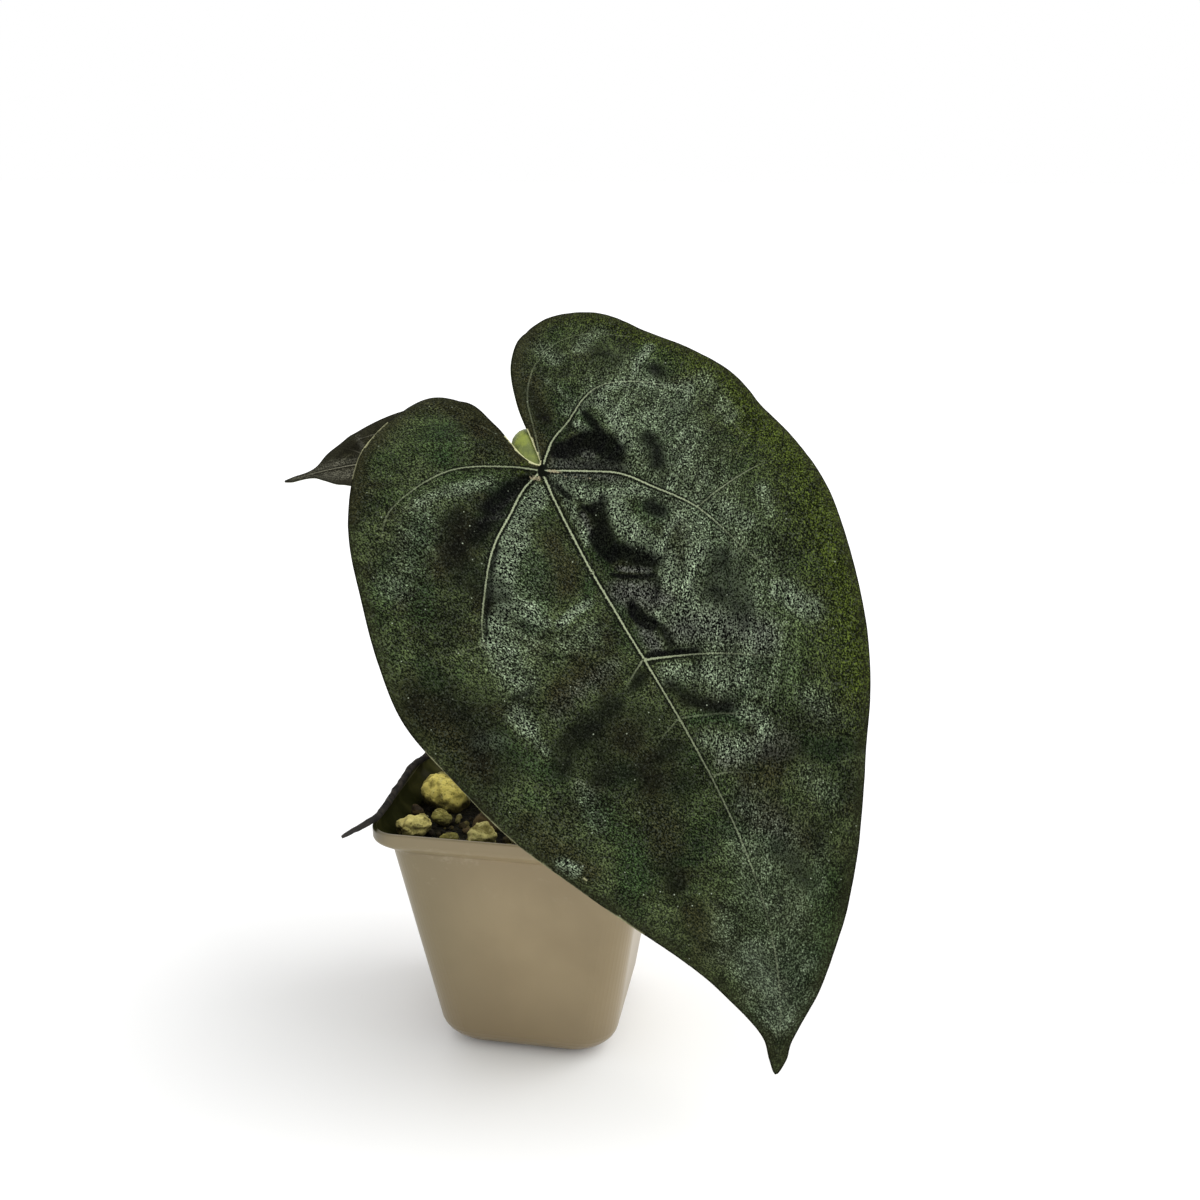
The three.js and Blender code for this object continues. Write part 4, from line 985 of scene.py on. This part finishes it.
# Where each colour lies on the upper face: a stroke is a half width, an amount and its points
main_paint = {
    # Painted shade: near black in the folds and dark in the hollows between the quilts
    "violet": main_folds + [
        (2.5, 1.7, [(7.4, -3.3), (11, -3.6), (14, -4.2)]),
        (2.6, 1.7, [(15.4, -3.6), (18, -1), (19.5, 3.2)]), (3.0, 0.8, [(-10, 3), (-17, 6.6)]),
        (1.9, 1.5, [(5.8, 23.6), (5.8, 27), (6.8, 29.8)]),
        (1.6, 1.3, [(4.4, 45.6), (4.8, 48.6), (6.4, 50.4)]),
        (2.4, 0.55, [(2.6, 66), (4.6, 71.5), (8.4, 75.6), (12.4, 77.4)]),
        (0.6, 1.0, [(4.2, 34.2), (7, 36.3), (10, 38.3), (13.6, 39.9)]),
        (0.9, 0.95, [(10, 29.6), (12.4, 32.4), (15.6, 36.2)]), (1.2, 0.55, [(10, -2.6), (10.2, -1)]),
        (3.0, 0.4, [(6, 0.4), (10, 1.6), (15, 4.6), (19, 8)]),
        (1.2, 0.8, [(17, -12), (17.4, -9), (18.4, -5)]), (0.8, 0.6, [(12.4, -10.6), (10.4, -8.6)]),
        (3.2, 0.62, [(-17, 7.6), (-20, 10), (-24, 12)]), (5.5, 0.42, [(-26, 8), (-30, 16), (-25, 26)]),
        (1.6, 0.45, [(8, 52), (8, 57)]),
        (0.65, 0.7, [(-18.8, 15.7), (-24, 22.2), (-26.7, 26), (-31.6, 34)]),
        (4.6, 0.5, [(-31, 70), (-27, 66.5), (-20, 65), (-13, 63)]), (2.0, 0.6, [(-6, 62), (-2.6, 60.5)]),
        (4.4, 0.5, [(-24, 77), (-15, 80), (-5, 80)]), (9.0, 0.3, [(-22, 72), (-8, 72)]),
        (6.0, 0.42, [(-14, 84), (-7, 88)]), (4.0, 0.42, [(-18, 106), (-19, 111)]),
        (4.0, 0.28, [(16, 92), (26, 96), (36, 99)]), (5.0, 0.34, [(8, 113), (11, 121)]),
        (2.6, 0.62, [(29, 2), (30, 7), (28.6, 12)]), (2.7, 0.6, [(21.4, 22.6), (23, 25.4)]),
        (5.5, 0.42, [(25, 52), (31, 46), (27, 60)]), (2.8, 0.42, [(39.4, -18.6), (40.6, -16.6)]),
        (4.6, 0.3, [(27, -31), (30, -25)]), (3.4, 0.4, [(4.6, -24), (6, -12)]),
        (9.0, 0.36, [(-52, 40), (-44, 48), (-46, 62)]), (1.4, 0.5, [(-33, 50), (-29, 50.6)]),
    ],
    # A greyer painted sheen of the pile, round the folds and on the lower half
    "haze": [
        (1.7, 1.0, [(12.4, -0.8), (14, 0.6)]), (4.6, 0.72, [(6, 1.6), (12, 4), (17, 8)]),
        (0.9, 0.9, [(4.8, 16.6), (4.5, 22.6)]), (0.9, 0.9, [(6.6, 33.6), (9.6, 36), (13, 38.2)]),
        (4.1, 0.75, [(4, 40), (9, 43), (11, 47)]), (2.4, 0.7, [(4, 51), (4, 56)]),
        (0.8, 0.85, [(-15, 6.8), (-10, 5), (-6, 3.4)]), (0.7, 0.8, [(-20, 8.8), (-14, 8.8)]),
        (4.6, 0.8, [(13, 55), (20, 59), (26, 63), (28, 67)]), (3.2, 0.3, [(-26, 58), (-16, 56), (-8, 55)]),
        (4.1, 0.4, [(5, 88), (14, 89), (19, 91)]), (4.8, 0.32, [(5, 99), (9, 110)]),
        (2.4, 0.3, [(-30, 76), (-28, 80)]),
    ],
    # Painted sheen: the silvery shine of the velvet pile on the crowns of the quilts
    "silver": [
        (14.0, 0.47, [(30, -12), (32, 2), (32, 20), (30, 46), (20, 68)]),
        (2.2, 0.6, [(14, 72.6), (19, 73)]), (7.0, 0.3, [(-15, 24), (-24, 40)]),
        (11.0, 0.42, [(4, 114), (0, 150)]), (7.0, 0.26, [(-30, 0), (-44, 14)]),
        (2.9, 1.0, [(-3, 7), (-9, 10.5), (-13, 14)]), (3.3, 1.4, [(-13.6, 16), (-19, 20), (-22.6, 25)]),
        (2.4, 1.25, [(-31, 36), (-28, 32), (-24, 31), (-19.6, 33.4)]),
        (4.6, 0.55, [(-28, 36), (-30.5, 41), (-30, 47)]), (2.4, 0.9, [(-34.6, 53.6), (-34, 58)]),
        (1.6, 0.5, [(-34, 60), (-33, 65)]), (1.2, 1.1, [(-14, 39.8), (-9.6, 38.6), (-5, 38.2)]),
        (4.3, 0.34, [(-16, 44), (-9, 45)]), (2.0, 0.5, [(-24, 35), (-17, 38)]),
        (2.4, 0.62, [(-14, -1), (-22, 0), (-28, -1), (-33, 0)]), (3.6, 0.34, [(-48, 14), (-45, 17)]),
        (2.7, 0.35, [(-46, 55), (-42, 57)]), (3.4, 0.3, [(-31, 80), (-30, 87)]),
        (1.7, 1.2, [(-42.4, 92), (-40.8, 95.6)]),
        (2.6, 0.9, [(2.6, 6), (8, 11.4), (12.4, 15.4), (17, 15), (22, 17.4)]),
        (1.3, 0.6, [(3, 11), (3, 24)]), (3.2, 1.0, [(13, 19), (13.4, 26), (16, 32), (18.6, 37), (17, 43)]),
        (1.4, 0.9, [(19.4, 34.6), (22.6, 31), (27, 29.4)]),
        (2.3, 0.95, [(17, 51), (20, 45.6), (23, 42), (29, 40)]), (3.0, 0.55, [(10, 50), (15, 53)]),
        (2.8, 0.95, [(21.4, -16.6), (23.4, -9), (24, -2), (22, 3)]), (2.4, 0.6, [(13, -15), (20, -14)]),
        (2.2, 0.8, [(16.6, -14.6), (22, -18), (30, -17.4), (37, -14)]),
        (1.6, 0.8, [(33.4, -18), (36, -22.4), (41, -26)]), (1.5, 0.65, [(38, -14), (43.4, -10), (43, -4)]),
        (3.6, 0.7, [(45, -9), (39, -3), (35, 2)]), (4.0, 0.4, [(50, -10), (52, 4)]),
        (3.6, 0.6, [(38, 6), (37, 12), (32, 16), (28, 20)]), (3.0, 0.45, [(14.4, -38), (16.4, -32.4)]),
        (3.0, 0.42, [(24, -33), (27, -36.4), (31, -38)]), (1.0, 0.5, [(11, -26), (13.6, -20), (16, -15)]),
        (3.6, 0.6, [(36.6, 31), (38.6, 36), (41, 39)]), (2.6, 0.4, [(47, 40), (49.4, 33)]),
        (3.0, 0.4, [(33, 58), (41, 50)]), (3.6, 0.95, [(39, 60), (41, 64), (43, 67)]),
        (3.2, 0.62, [(4, 63.5), (9, 66), (13, 69)]), (3.0, 0.62, [(4, 82), (7, 85), (11, 88)]),
        (2.6, 0.58, [(14.6, 80), (17.6, 83), (17, 87)]), (4.1, 0.34, [(31, 84), (33, 89)]),
        (4.0, 0.3, [(22, 101), (25, 106)]), (2.0, 0.5, [(4, 100), (6, 103)]),
        (6.0, 0.75, [(-6, 138), (-1, 149), (0, 154)]), (4.2, 0.45, [(7, 141), (4, 148)]),
        (4.4, 0.36, [(-13, 134), (-9, 124)]), (3.0, 0.26, [(17, 116), (14, 126)]),
        (2.2, 0.4, [(0, 108), (-1, 134)]), (1.0, 1.0, [(13.6, -10.4), (15, -7.6), (15.6, -6)]),
    ],
    "brown": [
        (3.4, 0.6, [(-6, 20), (-8, 32), (-4, 27)]), (5.0, 0.6, [(-24, 9), (-28, 13), (-36, 15)]),
        (4.0, 0.85, [(-24, -33), (-15, -30), (-10, -18)]), (5.0, 0.5, [(-14, 52), (-24, 55)]),
        (7.0, 0.45, [(-14, 71), (-12, 86), (-18, 101)]), (6.0, 0.4, [(12, 96), (18, 93)]),
        (5.0, 0.5, [(8, 104), (14, 112)]), (6.0, 0.5, [(-18, 122), (-14, 134)]),
        (4.0, 0.35, [(0, 159), (0, 164)]), (5.0, 0.5, [(42, 14), (48, 18)]),
        (4.0, 0.5, [(52, -15), (56, -4)]), (4.0, 0.6, [(6, -14), (7, -26)]),
        (6.0, 0.6, [(-54, 40), (-49, 60)]), (4.0, 0.6, [(-46, 78), (-38, 98)]),
        (5.0, 0.5, [(20, 38), (24, 30)]),
    ],
    "green": [
        (3.6, 0.9, [(20, 23.5), (22.5, 26)]), (1.4, 0.9, [(16.3, -13), (17, -8)]),
        (4.2, 0.8, [(43, -18), (40, -24)]), (5.0, 0.5, [(29, 50), (31, 42), (34, 35)]),
        (6.0, 0.5, [(-20, -22), (-22, -12)]), (4.0, 0.5, [(-34, 4), (-44, 24)]),
        (3.0, 0.6, [(-21, 37), (-17, 34)]), (2.0, 0.6, [(-1, 33), (-5, 37)]),
        (4.5, 0.5, [(-41, 58), (-36, 67)]), (4.5, 0.55, [(-29, 84), (-25, 95), (-29, 107)]),
        (1.8, 0.9, [(3, 76), (12, 79.5)]), (2.2, 0.6, [(21, 70), (26, 74)]),
        (5.0, 0.5, [(12, 140), (15, 124)]), (4.0, 0.5, [(30, -2), (33, 12)]),
    ],
    "lush": [
        (9.0, 0.75, [(20, -14), (30, -8), (34, 2)]), (5.0, 0.6, [(14, 10), (20, 14), (14, 30)]),
        (5.0, 0.7, [(40, -26), (46, -18)]), (8.0, 0.6, [(44, 14), (47, 30), (42, 46)]),
        (7.0, 0.8, [(36, 54), (36, 72), (26, 80)]), (2.6, 0.9, [(-9, -3), (-22, -3), (-33, -2), (-40, -4)]),
        (5.0, 0.7, [(-38, -14), (-28, -18), (-22, -27)]), (6.0, 0.5, [(14, -34), (22, -42), (32, -34)]),
        (2.6, 0.7, [(-14, 40), (-6, 39)]), (6.0, 0.8, [(-6, 112), (-2, 128), (2, 114)]),
        (4.0, 0.7, [(-5, 88), (-7, 98)]), (3.0, 0.6, [(2, 88), (2, 98)]),
        (5.0, 0.6, [(14, 134), (16, 122)]), (5.0, 0.4, [(-27, 92), (-30, 106)]),
        (4.0, 0.4, [(-52, 16), (-50, 28)]),
    ],
}
main_lines = [smooth_line(points, 2.5) for points, _ in main_primaries + main_laterals]
main_rim = smooth_line(main_outline, 3, closed=True)
main_rim = np.vstack([main_rim, main_rim[:1]])
main_hollows = [(14, -2, 2.2, 7), (-12, 1.5, 1.6, 6), (4.5, 31, 1.6, 7), (6.5, 49, 1.8, 7), (8, 63, 1.2, 6)]


def main_lift(u, v):
    """How far the sheet stands off its ruled form: gutter, sides, lobes, quilts, waves, folds, puckers"""
    from_stalk = np.hypot(u, v)
    gutter = 0.1 * (np.hypot(u, 12) - 12)
    reflexed = -5 * (np.abs(u) / 62) ** 4
    lobe = np.minimum(v - 6, 0) ** 2 * np.clip(np.abs(u) / 12, 0, 1)
    drooped = -lobe * np.where(u < 0, 0.0075, 0.004)
    to_vein = gap_to_lines(u, v, main_lines)
    pillow = 1.1 + 1.3 * np.exp(-((from_stalk / 45) ** 2))
    quilt = pillow * (1 - np.exp(-((to_vein / 6) ** 2)))
    to_rim = gap_to_lines(u, v, [main_rim])
    t = np.clip((from_stalk - 20) / 30, 0, 1)
    outer = t * t * (3 - 2 * t)
    wave = 1.2 * np.sin(9 * np.arctan2(u, 45 - v) + 0.6) * np.exp(-to_rim / 9) * outer
    hollows = sum(-depth * np.exp(-((u - hu) ** 2 + (v - hv) ** 2) / reach**2)
                  for hu, hv, depth, reach in main_hollows)
    flat = np.stack([u, v], 1)
    shoulders = [(width * 2.2, amount, points) for width, amount, points in main_folds]
    folds = -0.9 * strokes(flat, main_folds) + 0.35 * strokes(flat, shoulders)
    broad = np.array([noise.noise(Vector((a / 7, b / 9, 0))) for a, b in flat])
    pucker = broad + 0.5 * np.array([noise.noise(Vector((a / 3, b / 3.4, 5))) for a, b in flat])
    crease = np.array([abs(noise.noise(Vector((a / 5 + b / 22, b / 16 - a / 30, 9)))) for a, b in flat])
    rough = (0.3 * pucker - 0.35 * np.clip(0.25 - crease, 0, 1)) * np.clip(to_vein / 3, 0, 1)
    return gutter + reflexed + drooped + quilt + wave + hollows + folds + rough


main_blade = Blade(
    [(6, -19, 174.5), (31, -47, 134), (81.5, -55, 90.5), (75, -66, 33)], length=169, azimuth=15,
    elevations=(40, 8), outline=main_outline, veins=main_primaries + main_laterals, lift=main_lift,
)


def blade_finish(name, tints, grain_size, net_size, contrast):
    """Velvet leaf: painted zones with painted sheen and shade, broken by noise; a hard grain with painted
    glints; a net of small veins; pale veins
    """
    place, finished = new_finish(name)

    def zone(key, low=0.1, high=0.9):
        amount = place.attribute(key)
        return (amount * 1.1 + (torn * 0.9 + (grit - 0.22) * 0.45) * amount.ramp(0.0, 0.35)).ramp(low, high)

    def scaled(vector, factor):
        return vector.node("ShaderNodeVectorMath", {"operation": "SCALE"}, Vector=vector, Scale=factor)

    def over(colour, *layers):
        return layered(colour, *[(mask, tints[key]) for mask, key in layers if key in tints])

    cloud = place.grain(16, 3)
    ragged = place.grain(7, 4, roughness=0.6)
    torn = ragged - 0.5
    across, along = place.attribute("across") * MM, place.attribute("along") * MM
    outwards = across.math("ABSOLUTE")
    slant, rake = (outwards - along) * 0.7, (outwards + along) * 0.7
    sheet = place.node("ShaderNodeCombineXYZ", X=slant, Y=rake, Z=across)
    brush = sheet.grain(2.6, 3, stretch=(0.14, 1, 0.3), roughness=0.6).ramp(0.3, 0.7)
    speck = place.grain(grain_size, 0).ramp(0.47, 0.72)
    hair = sheet.grain(grain_size * 1.1, 0, stretch=(0.4, 1, 1)).ramp(0.47, 0.72)
    grit = 0.55 * speck + 0.45 * hair
    fleck = place.grain(grain_size * 1.25, 0).ramp(0.58, 0.7)
    wobble = scaled(place.grain(2.5, give=1), 2.4 * MM)
    wavy = place.node("ShaderNodeMapping", Vector=place, Location=wobble)
    net = wavy.cells(net_size, "DISTANCE_TO_EDGE")
    fine_net = wavy.cells(net_size * 0.4, "DISTANCE_TO_EDGE")
    lines = (1 - net.ramp(0.01, 0.09)) * 0.7 + (1 - fine_net.ramp(0.0, 0.09)) * 0.35

    mottle = cloud + torn * 0.6 + 0.45 * (place.grain(3.4, 2) - 0.5)
    # A greyer painted sheen, and painted shade in the folds and hollows
    haze, violet = zone("haze", 0.0, 1.05), zone("violet", 0.15, 0.78)
    # Painted sheen of the pile, streaked by the brush
    silver = zone("silver", 0.0, 1.1) * (0.56 + 0.6 * brush)
    colour = over(
        mottle.ramp(0.34, 0.66).mix(tints["deep"], tints["body"]),
        (place.grain(11, 2).ramp(0.48, 0.7) * 0.5, "green"),
        (place.grain(8.3, 2).ramp(0.5, 0.72) * 0.5, "brown"),
        (zone("brown") * 0.8, "brown"),
        (zone("green") * 0.7, "green"),
        (zone("lush", 0.1, 1.1) * 0.5, "lush"),
        (zone("olive", 0.1, 1.0), "olive"),
        # A greyer painted sheen
        (haze * 0.9, "haze"),
        # Painted sheen
        (silver, "silver"),
        # Painted shade in the folds and hollows
        (violet * (0.85 + 0.15 * brush), "violet"),
        (lines * (0.6 * place.attribute("olive") + 0.4), "pit"),
    )
    near = 1 - place.attribute("along").ramp(90, 135)
    # The grain has more contrast where the sheen is painted, less towards the tip
    pile = (silver + haze).math("MINIMUM", 1) * near
    depth = (1.8 + 0.5 * near + pile) * contrast
    colour = scaled(colour, (0.62 + (grit - 0.21) * depth) * (0.7 + 0.56 * brush))
    # Painted glints: bright specks of the pile, most where the sheen is painted and fewest in the painted
    # shade
    lift = fleck * (0.08 + 0.14 * silver + 0.14 * haze) * (1 - 0.8 * violet) * (0.4 + 0.6 * near) * contrast
    dust = (1 - place.cells(2.7).ramp(0.045, 0.085)) * ragged.ramp(0.42, 0.56)
    margin, vein, power, ridge = (place.attribute(key) for key in ("margin", "vein", "power", "ridge"))
    # Painted shadow: a dark line at the side of the veins
    painted_vein_shadow = ridge.ramp(0.12, 0.4) * (1 - vein.ramp(0.15, 0.4)) * ragged.ramp(0.25, 0.48)
    strong = (power + torn * 0.4 * power.ramp(0, 0.3)).ramp(0.12, 0.8)
    core = (vein + (grit - 0.27) * 0.45).ramp(0.28, 0.72) * strong
    colour = over(
        colour,
        # Painted glints, then dust, both in the fleck colour
        (lift, "fleck"),
        (dust * 0.8, "fleck"),
        ((1 - margin.ramp(0.4, 4)) * 0.45, "rim_band"),
        ((1 - margin.ramp(0.1, 0.5)) * 0.85, "edge"),
        # Painted shadow at the side of the veins
        (painted_vein_shadow * 0.95, "pit"),
        (core * 0.9, "vein"),
        ((place.attribute("knot") * (0.66 + grit)).ramp(0.35, 0.85), "knot"),
        # Painted shade where the stalk joins
        ((place.attribute("pit") + torn * 0.4).ramp(0.35, 0.6), "pit"),
        ((place.attribute("hem") + torn * 0.5).ramp(0.35, 0.75), "hem"),
    )
    back_cells = net.ramp(0.0, 0.16) * 0.3 + 0.25 * fine_net.ramp(0, 0.3) + 0.5 * cloud
    below = over(back_cells.mix(tints["back_vein"], tints["back"]), (ridge.ramp(0.1, 0.5), "back_vein"))
    under = place.attribute("under")
    bump = (grit + net.ramp(0, 0.2) * 0.6 + fine_net.ramp(0, 0.2) * 0.3, 0.2, 0.9)
    return finished(under.ramp(0.4, 0.6).mix(colour, below), 0.62 + 0.2 * grit + 0.1 * under, 0.02, bump)


main_leaf, main_flat = grow_blade("main_leaf", main_blade, spacing=1.05, thickness=0.55, rises=(0.3, 0.9))
main_u, main_v = main_flat[:, 0], main_flat[:, 1]
main_margin = gap_to_lines(main_u, main_v, [main_rim])
main_zones = {key: strokes(main_flat, painted) for key, painted in main_paint.items()}
right_side = np.clip((main_u - 8) / 30, 0, 1) * np.clip((104 - main_v) / 30, 0, 1)
right_side *= np.clip((main_v + 50) / 60, 0.5, 1)
by_stalk = strokes(main_flat, [
    (1.3, 0.8, [(-3.4, -2.4), (-5.4, -0.6)]), (0.7, 0.7, [(-0.9, 3.5), (-0.8, 10)]),
])
main_zones["olive"] = np.maximum(np.clip(right_side * np.exp(-main_margin / 8) * 1.5, 0, 1), by_stalk)
# Brown along the margins of the lobes: partly the leaf's own colour, partly painted shade on the lobes
main_zones["brown"] = np.maximum(main_zones["brown"], 0.8 * np.exp(-main_margin / 4) * (main_v < 0))
on_rim = main_margin < 0.3
sinus_edge = (np.abs(main_u) < 6) & (main_v > -13) & (main_v < 0)
lobe_edge = (main_u < -30) & (main_v > -30) & (main_v < -12)
low_edge = (main_u < -28) & (main_v > 50) & (main_v < 122)
specks = strokes(main_flat, [(0.35, 0.6, [(-39.6, 98), (-39, 99.4)]), (0.4, 0.6, [(-35.6, 106)])])
main_zones["hem"] = np.maximum(on_rim * (1.0 * sinus_edge + 0.62 * lobe_edge + 0.56 * low_edge), specks)
main_zones["knot"] = strokes(main_flat, [
    (0.7, 1.0, [(-3, 1.6), (-1.6, 2.4)]), (0.7, 0.9, [(1.8, 1.3), (4, 2.3)]),
    (0.5, 0.75, [(-1.5, 2.6), (-1.7, 9)]), (0.4, 0.62, [(4, 3.8), (9, 6), (14, 9.4)]),
])
# Painted shade: a dark spot in the hollow where the stalk joins the blade
main_zones["pit"] = strokes(main_flat, [(1.0, 1.0, [(0.4, -0.6), (-0.4, 1.2), (0.5, 1.8)])])
give_both(main_leaf, main_zones)
main_tints = {
    "deep": (38, 44, 26), "body": (65, 75, 46), "green": (36, 55, 30), "brown": (44, 41, 24),
    "lush": (60, 75, 42), "olive": (62, 73, 27), "haze": (68, 69, 65), "silver": (98, 110, 89),
    "violet": (7, 7, 8), "pit": (12, 14, 9), "fleck": (158, 168, 146),
    "rim_band": (40, 41, 25), "edge": (22, 22, 15), "vein": (158, 167, 135),
    "knot": (150, 142, 114), "hem": (190, 190, 146), "back": (84, 102, 60),
    "back_vein": (122, 136, 90),
}
main_skin = blade_finish("leaf_velvet", main_tints, grain_size=0.4, net_size=3.6, contrast=1.0)
finish_piece(main_leaf, main_skin, "main_blade", "main_leaf_blade")


# Main leaf stalk
# A slim round green stalk from a sheathing foot on the stem up to the thick yellow-green joint that turns
# the blade, which shows through the sinus.
SEAT_STEP = 1.5
SEAT_REACHES = (3.2, 0.2)


def stalk_finish():
    place, finished = new_finish("stalk_green")
    along = place.attribute("along")
    streak = place.grain(1.2, 4, stretch=(1, 1, 0.08))
    cloud = place.grain(3, 4)
    joint = along.ramp(0.7, 0.82)
    colour = layered(
        cloud.ramp(0.35, 0.7).mix((94, 106, 50), (74, 82, 44)),
        (joint, (138, 149, 50)),
        (cloud.ramp(0.42, 0.62) * joint * 0.85, (84, 94, 38)),
        (along.ramp(0.82, 0.94) * 0.7, (92, 102, 58)),
        (streak.ramp(0.5, 0.7) * 0.3, (56, 64, 32)),
        ((1 - along.ramp(0.0, 0.12)) * 0.6, (112, 104, 66)),
        (place.grain(0.5, 2).ramp(0.62, 0.72) * 0.3, (150, 156, 96)),
    )
    return finished(colour, 0.5, 0.35, (streak + cloud * 0.5, 0.15, 0.5))


def stalk(name, blade, seat, points, radii, sides, size, depth, gap):
    """A rough rod up to the back of a blade, at a seat given as u and v, that stays behind its sheet"""
    u, v = seat
    at = blade.place(np.array([(u, v), (u + SEAT_STEP, v), (u, v + SEAT_STEP)]))
    back = np.cross(at[1] - at[0], at[2] - at[0])
    back = back / np.linalg.norm(back)
    ends = [tuple(at[0] + back * reach) for reach in SEAT_REACHES]
    piece = rod(name, points + ends, radii, sides=sides)
    roughen(piece, size, depth)
    blade.push_behind(piece, gap)
    bpy.ops.object.shade_smooth()
    return piece


main_stalk = stalk(
    "main_stalk", main_blade, (-0.2, 3.0),
    [(1.5, -1, 78), (1.5, 2, 100), (1, 5, 130), (0.5, 4, 155), (0, -3, 174), (0.4, -9.6, 179),
     (2.5, -14.2, 177.4)],
    [3.6, 2.4, 2.4, 2.4, 3.2, 4.3, 4.2, 3.2, 2.4], sides=32, size=2.2, depth=0.1, gap=0.5,
)
stalk_skin = stalk_finish()
finish_piece(main_stalk, stalk_skin, "stalk", "main_leaf_stalk")


# Second leaf
# A younger, narrower heart on its own thinner stalk behind the main leaf. Only its drip tip and lower half
# show past the left lobe; it is bronze-green and smoother, with a pale midrib.
second_half = [
    (0.7, -3), (2.2, -8), (6.2, -11), (11, -10.6), (14.8, -7), (16.6, -0.5), (16.4, 8), (14.8, 16.5),
    (12, 25), (8.8, 32), (5, 37.5), (2.2, 40.8), (1.2, 44), (0.9, 48.5),
]
second_outline = [(0, -0.8), *second_half, (0, 51), *[(-u, v) for u, v in reversed(second_half)]]
second_sides = [
    ([(0, 0.3), (5, 2.6), (8.6, 9), (9.8, 18), (8.6, 27)], (0.7, 0.3)),
    ([(0, 0.3), (4, -2.6), (9, -4.4), (13, -1.5), (13.8, 7)], (0.6, 0.2)),
    ([(0, 13), (5, 17), (8.6, 23)], (0.5, 0.2)),
    ([(0, 24), (4, 27.5), (6.5, 32)], (0.5, 0.2)),
]
second_veins = [([(0, 0.3), (0, 18), (0, 36), (0, 48)], (0.9, 0.7, 0.3))]
for points, strength in second_sides:
    second_veins += [(points, strength), ([(-u, v) for u, v in points], strength)]
second_lines = [smooth_line(points, 1.5) for points, _ in second_veins]


def second_lift(u, v):
    """A folded gutter, quilts between the veins and drooped lobes"""
    fold = 0.35 * (np.hypot(u, 4) - 4)
    quilt = 0.7 * (1 - np.exp(-((gap_to_lines(u, v, second_lines) / 3.5) ** 2)))
    return fold + quilt - 0.03 * np.minimum(v - 2, 0) ** 2


second_blade = Blade(
    [(-28, 14, 169), (-44, 12.5, 169.8), (-61, 10, 166.8), (-77.5, 10, 161.3)], length=51, azimuth=0,
    elevations=(55, 55), outline=second_outline, veins=second_veins, lift=second_lift,
)
second_paint = {
    # Painted shade in the folds
    "violet": [(2.4, 0.3, [(-4, 24), (-4.6, 36)]), (2.6, 0.5, [(-6, 28), (-6, 31)])],
    # Painted sheen
    "silver": [(1.1, 0.8, [(9, 25), (4, 27)]), (0.9, 0.7, [(-9, 28), (-4, 26)])],
    # A greyer painted sheen
    "haze": [
        (2.4, 1.0, [(0, 43), (0, 50)]), (3.2, 0.7, [(5, 20), (3, 38)]), (1.8, 0.7, [(-1.6, 24), (-1.4, 40)]),
    ],
    "brown": [(7, 0.9, [(6, 10), (5, 34)]), (6, 0.6, [(-8, 8), (-10, 16)])],
    "green": [(3, 0.5, [(-2, 18), (-2, 30)]), (2, 0.6, [(-10, 30), (-8, 36)])],
    "knot": [(1.2, 1.0, [(0, 0)])],
}
second_leaf, second_flat = grow_blade(
    "second_leaf", second_blade, spacing=0.8, thickness=0.5, rises=(0.25, 0.6)
)
give_both(second_leaf, {key: strokes(second_flat, painted) for key, painted in second_paint.items()})
second_tints = {
    "deep": (52, 51, 36), "body": (68, 67, 49), "green": (52, 56, 38), "brown": (46, 43, 31),
    "haze": (96, 95, 82), "silver": (122, 121, 107), "violet": (20, 20, 14), "pit": (24, 23, 17),
    "fleck": (122, 120, 106), "rim_band": (46, 45, 36), "edge": (36, 35, 29),
    "vein": (134, 132, 114), "knot": (140, 136, 92), "back": (104, 108, 78),
    "back_vein": (136, 140, 108),
}
second_skin = blade_finish("leaf_bronze", second_tints, grain_size=0.42, net_size=2.6, contrast=0.45)
finish_piece(second_leaf, second_skin, "second_blade", "second_leaf_blade")

second_stalk = stalk(
    "second_stalk", second_blade, (0, 1.0),
    [(-3, 3.5, 78), (-5.5, 9, 100), (-9, 14, 125), (-15, 18, 146), (-21, 18.5, 158), (-24.6, 17, 163.6)],
    [3, 1.7, 1.6, 1.6, 2, 2.5, 2.1, 1.6], sides=24, size=2.0, depth=0.08, gap=0.4,
)
finish_piece(second_stalk, stalk_skin, "stalk", "second_leaf_stalk")


# Studio
# A plain white floor, white surroundings and one broad soft light high on the right.
bpy.ops.mesh.primitive_plane_add(size=30, location=(0, 0, 0))
floor = bpy.context.object
floor.name = "studio_floor"
FLOOR_LIGHT = (0.88, 0.88, 0.88, 1)
_, finished = new_finish("floor_white")
floor.data.materials.append(finished(FLOOR_LIGHT, roughness=0.9, specular=0.0))

world = bpy.data.worlds.new("studio")
bpy.context.scene.world = world
world.use_nodes = True
background = world.node_tree.nodes["Background"].inputs
background["Color"].default_value = (1, 1, 1, 1)
background["Strength"].default_value = 1.0

sun = bpy.data.lights.new("soft_key", "SUN")
sun.energy = 2.1
sun.angle = math.radians(60)
key = bpy.data.objects.new("soft_key", sun)
key.rotation_mode = "QUATERNION"
to_light = Vector((0.74, 0.0, 0.67))
key.rotation_quaternion = to_light.to_track_quat("Z", "Y")
bpy.context.collection.objects.link(key)

lens = bpy.data.cameras.new("camera")
lens.sensor_width = 36
lens.lens = 42
camera = bpy.data.objects.new("camera", lens)
camera.location = Vector((84.6, -368.8, 251.9)) * MM
camera.rotation_mode = "QUATERNION"
line_of_sight = Vector((-0.1688, 0.9386, -0.3009))
camera.rotation_quaternion = line_of_sight.to_track_quat("-Z", "Y")
bpy.context.collection.objects.link(camera)
bpy.context.scene.camera = camera
bpy.context.scene.view_settings.view_transform = "Standard"
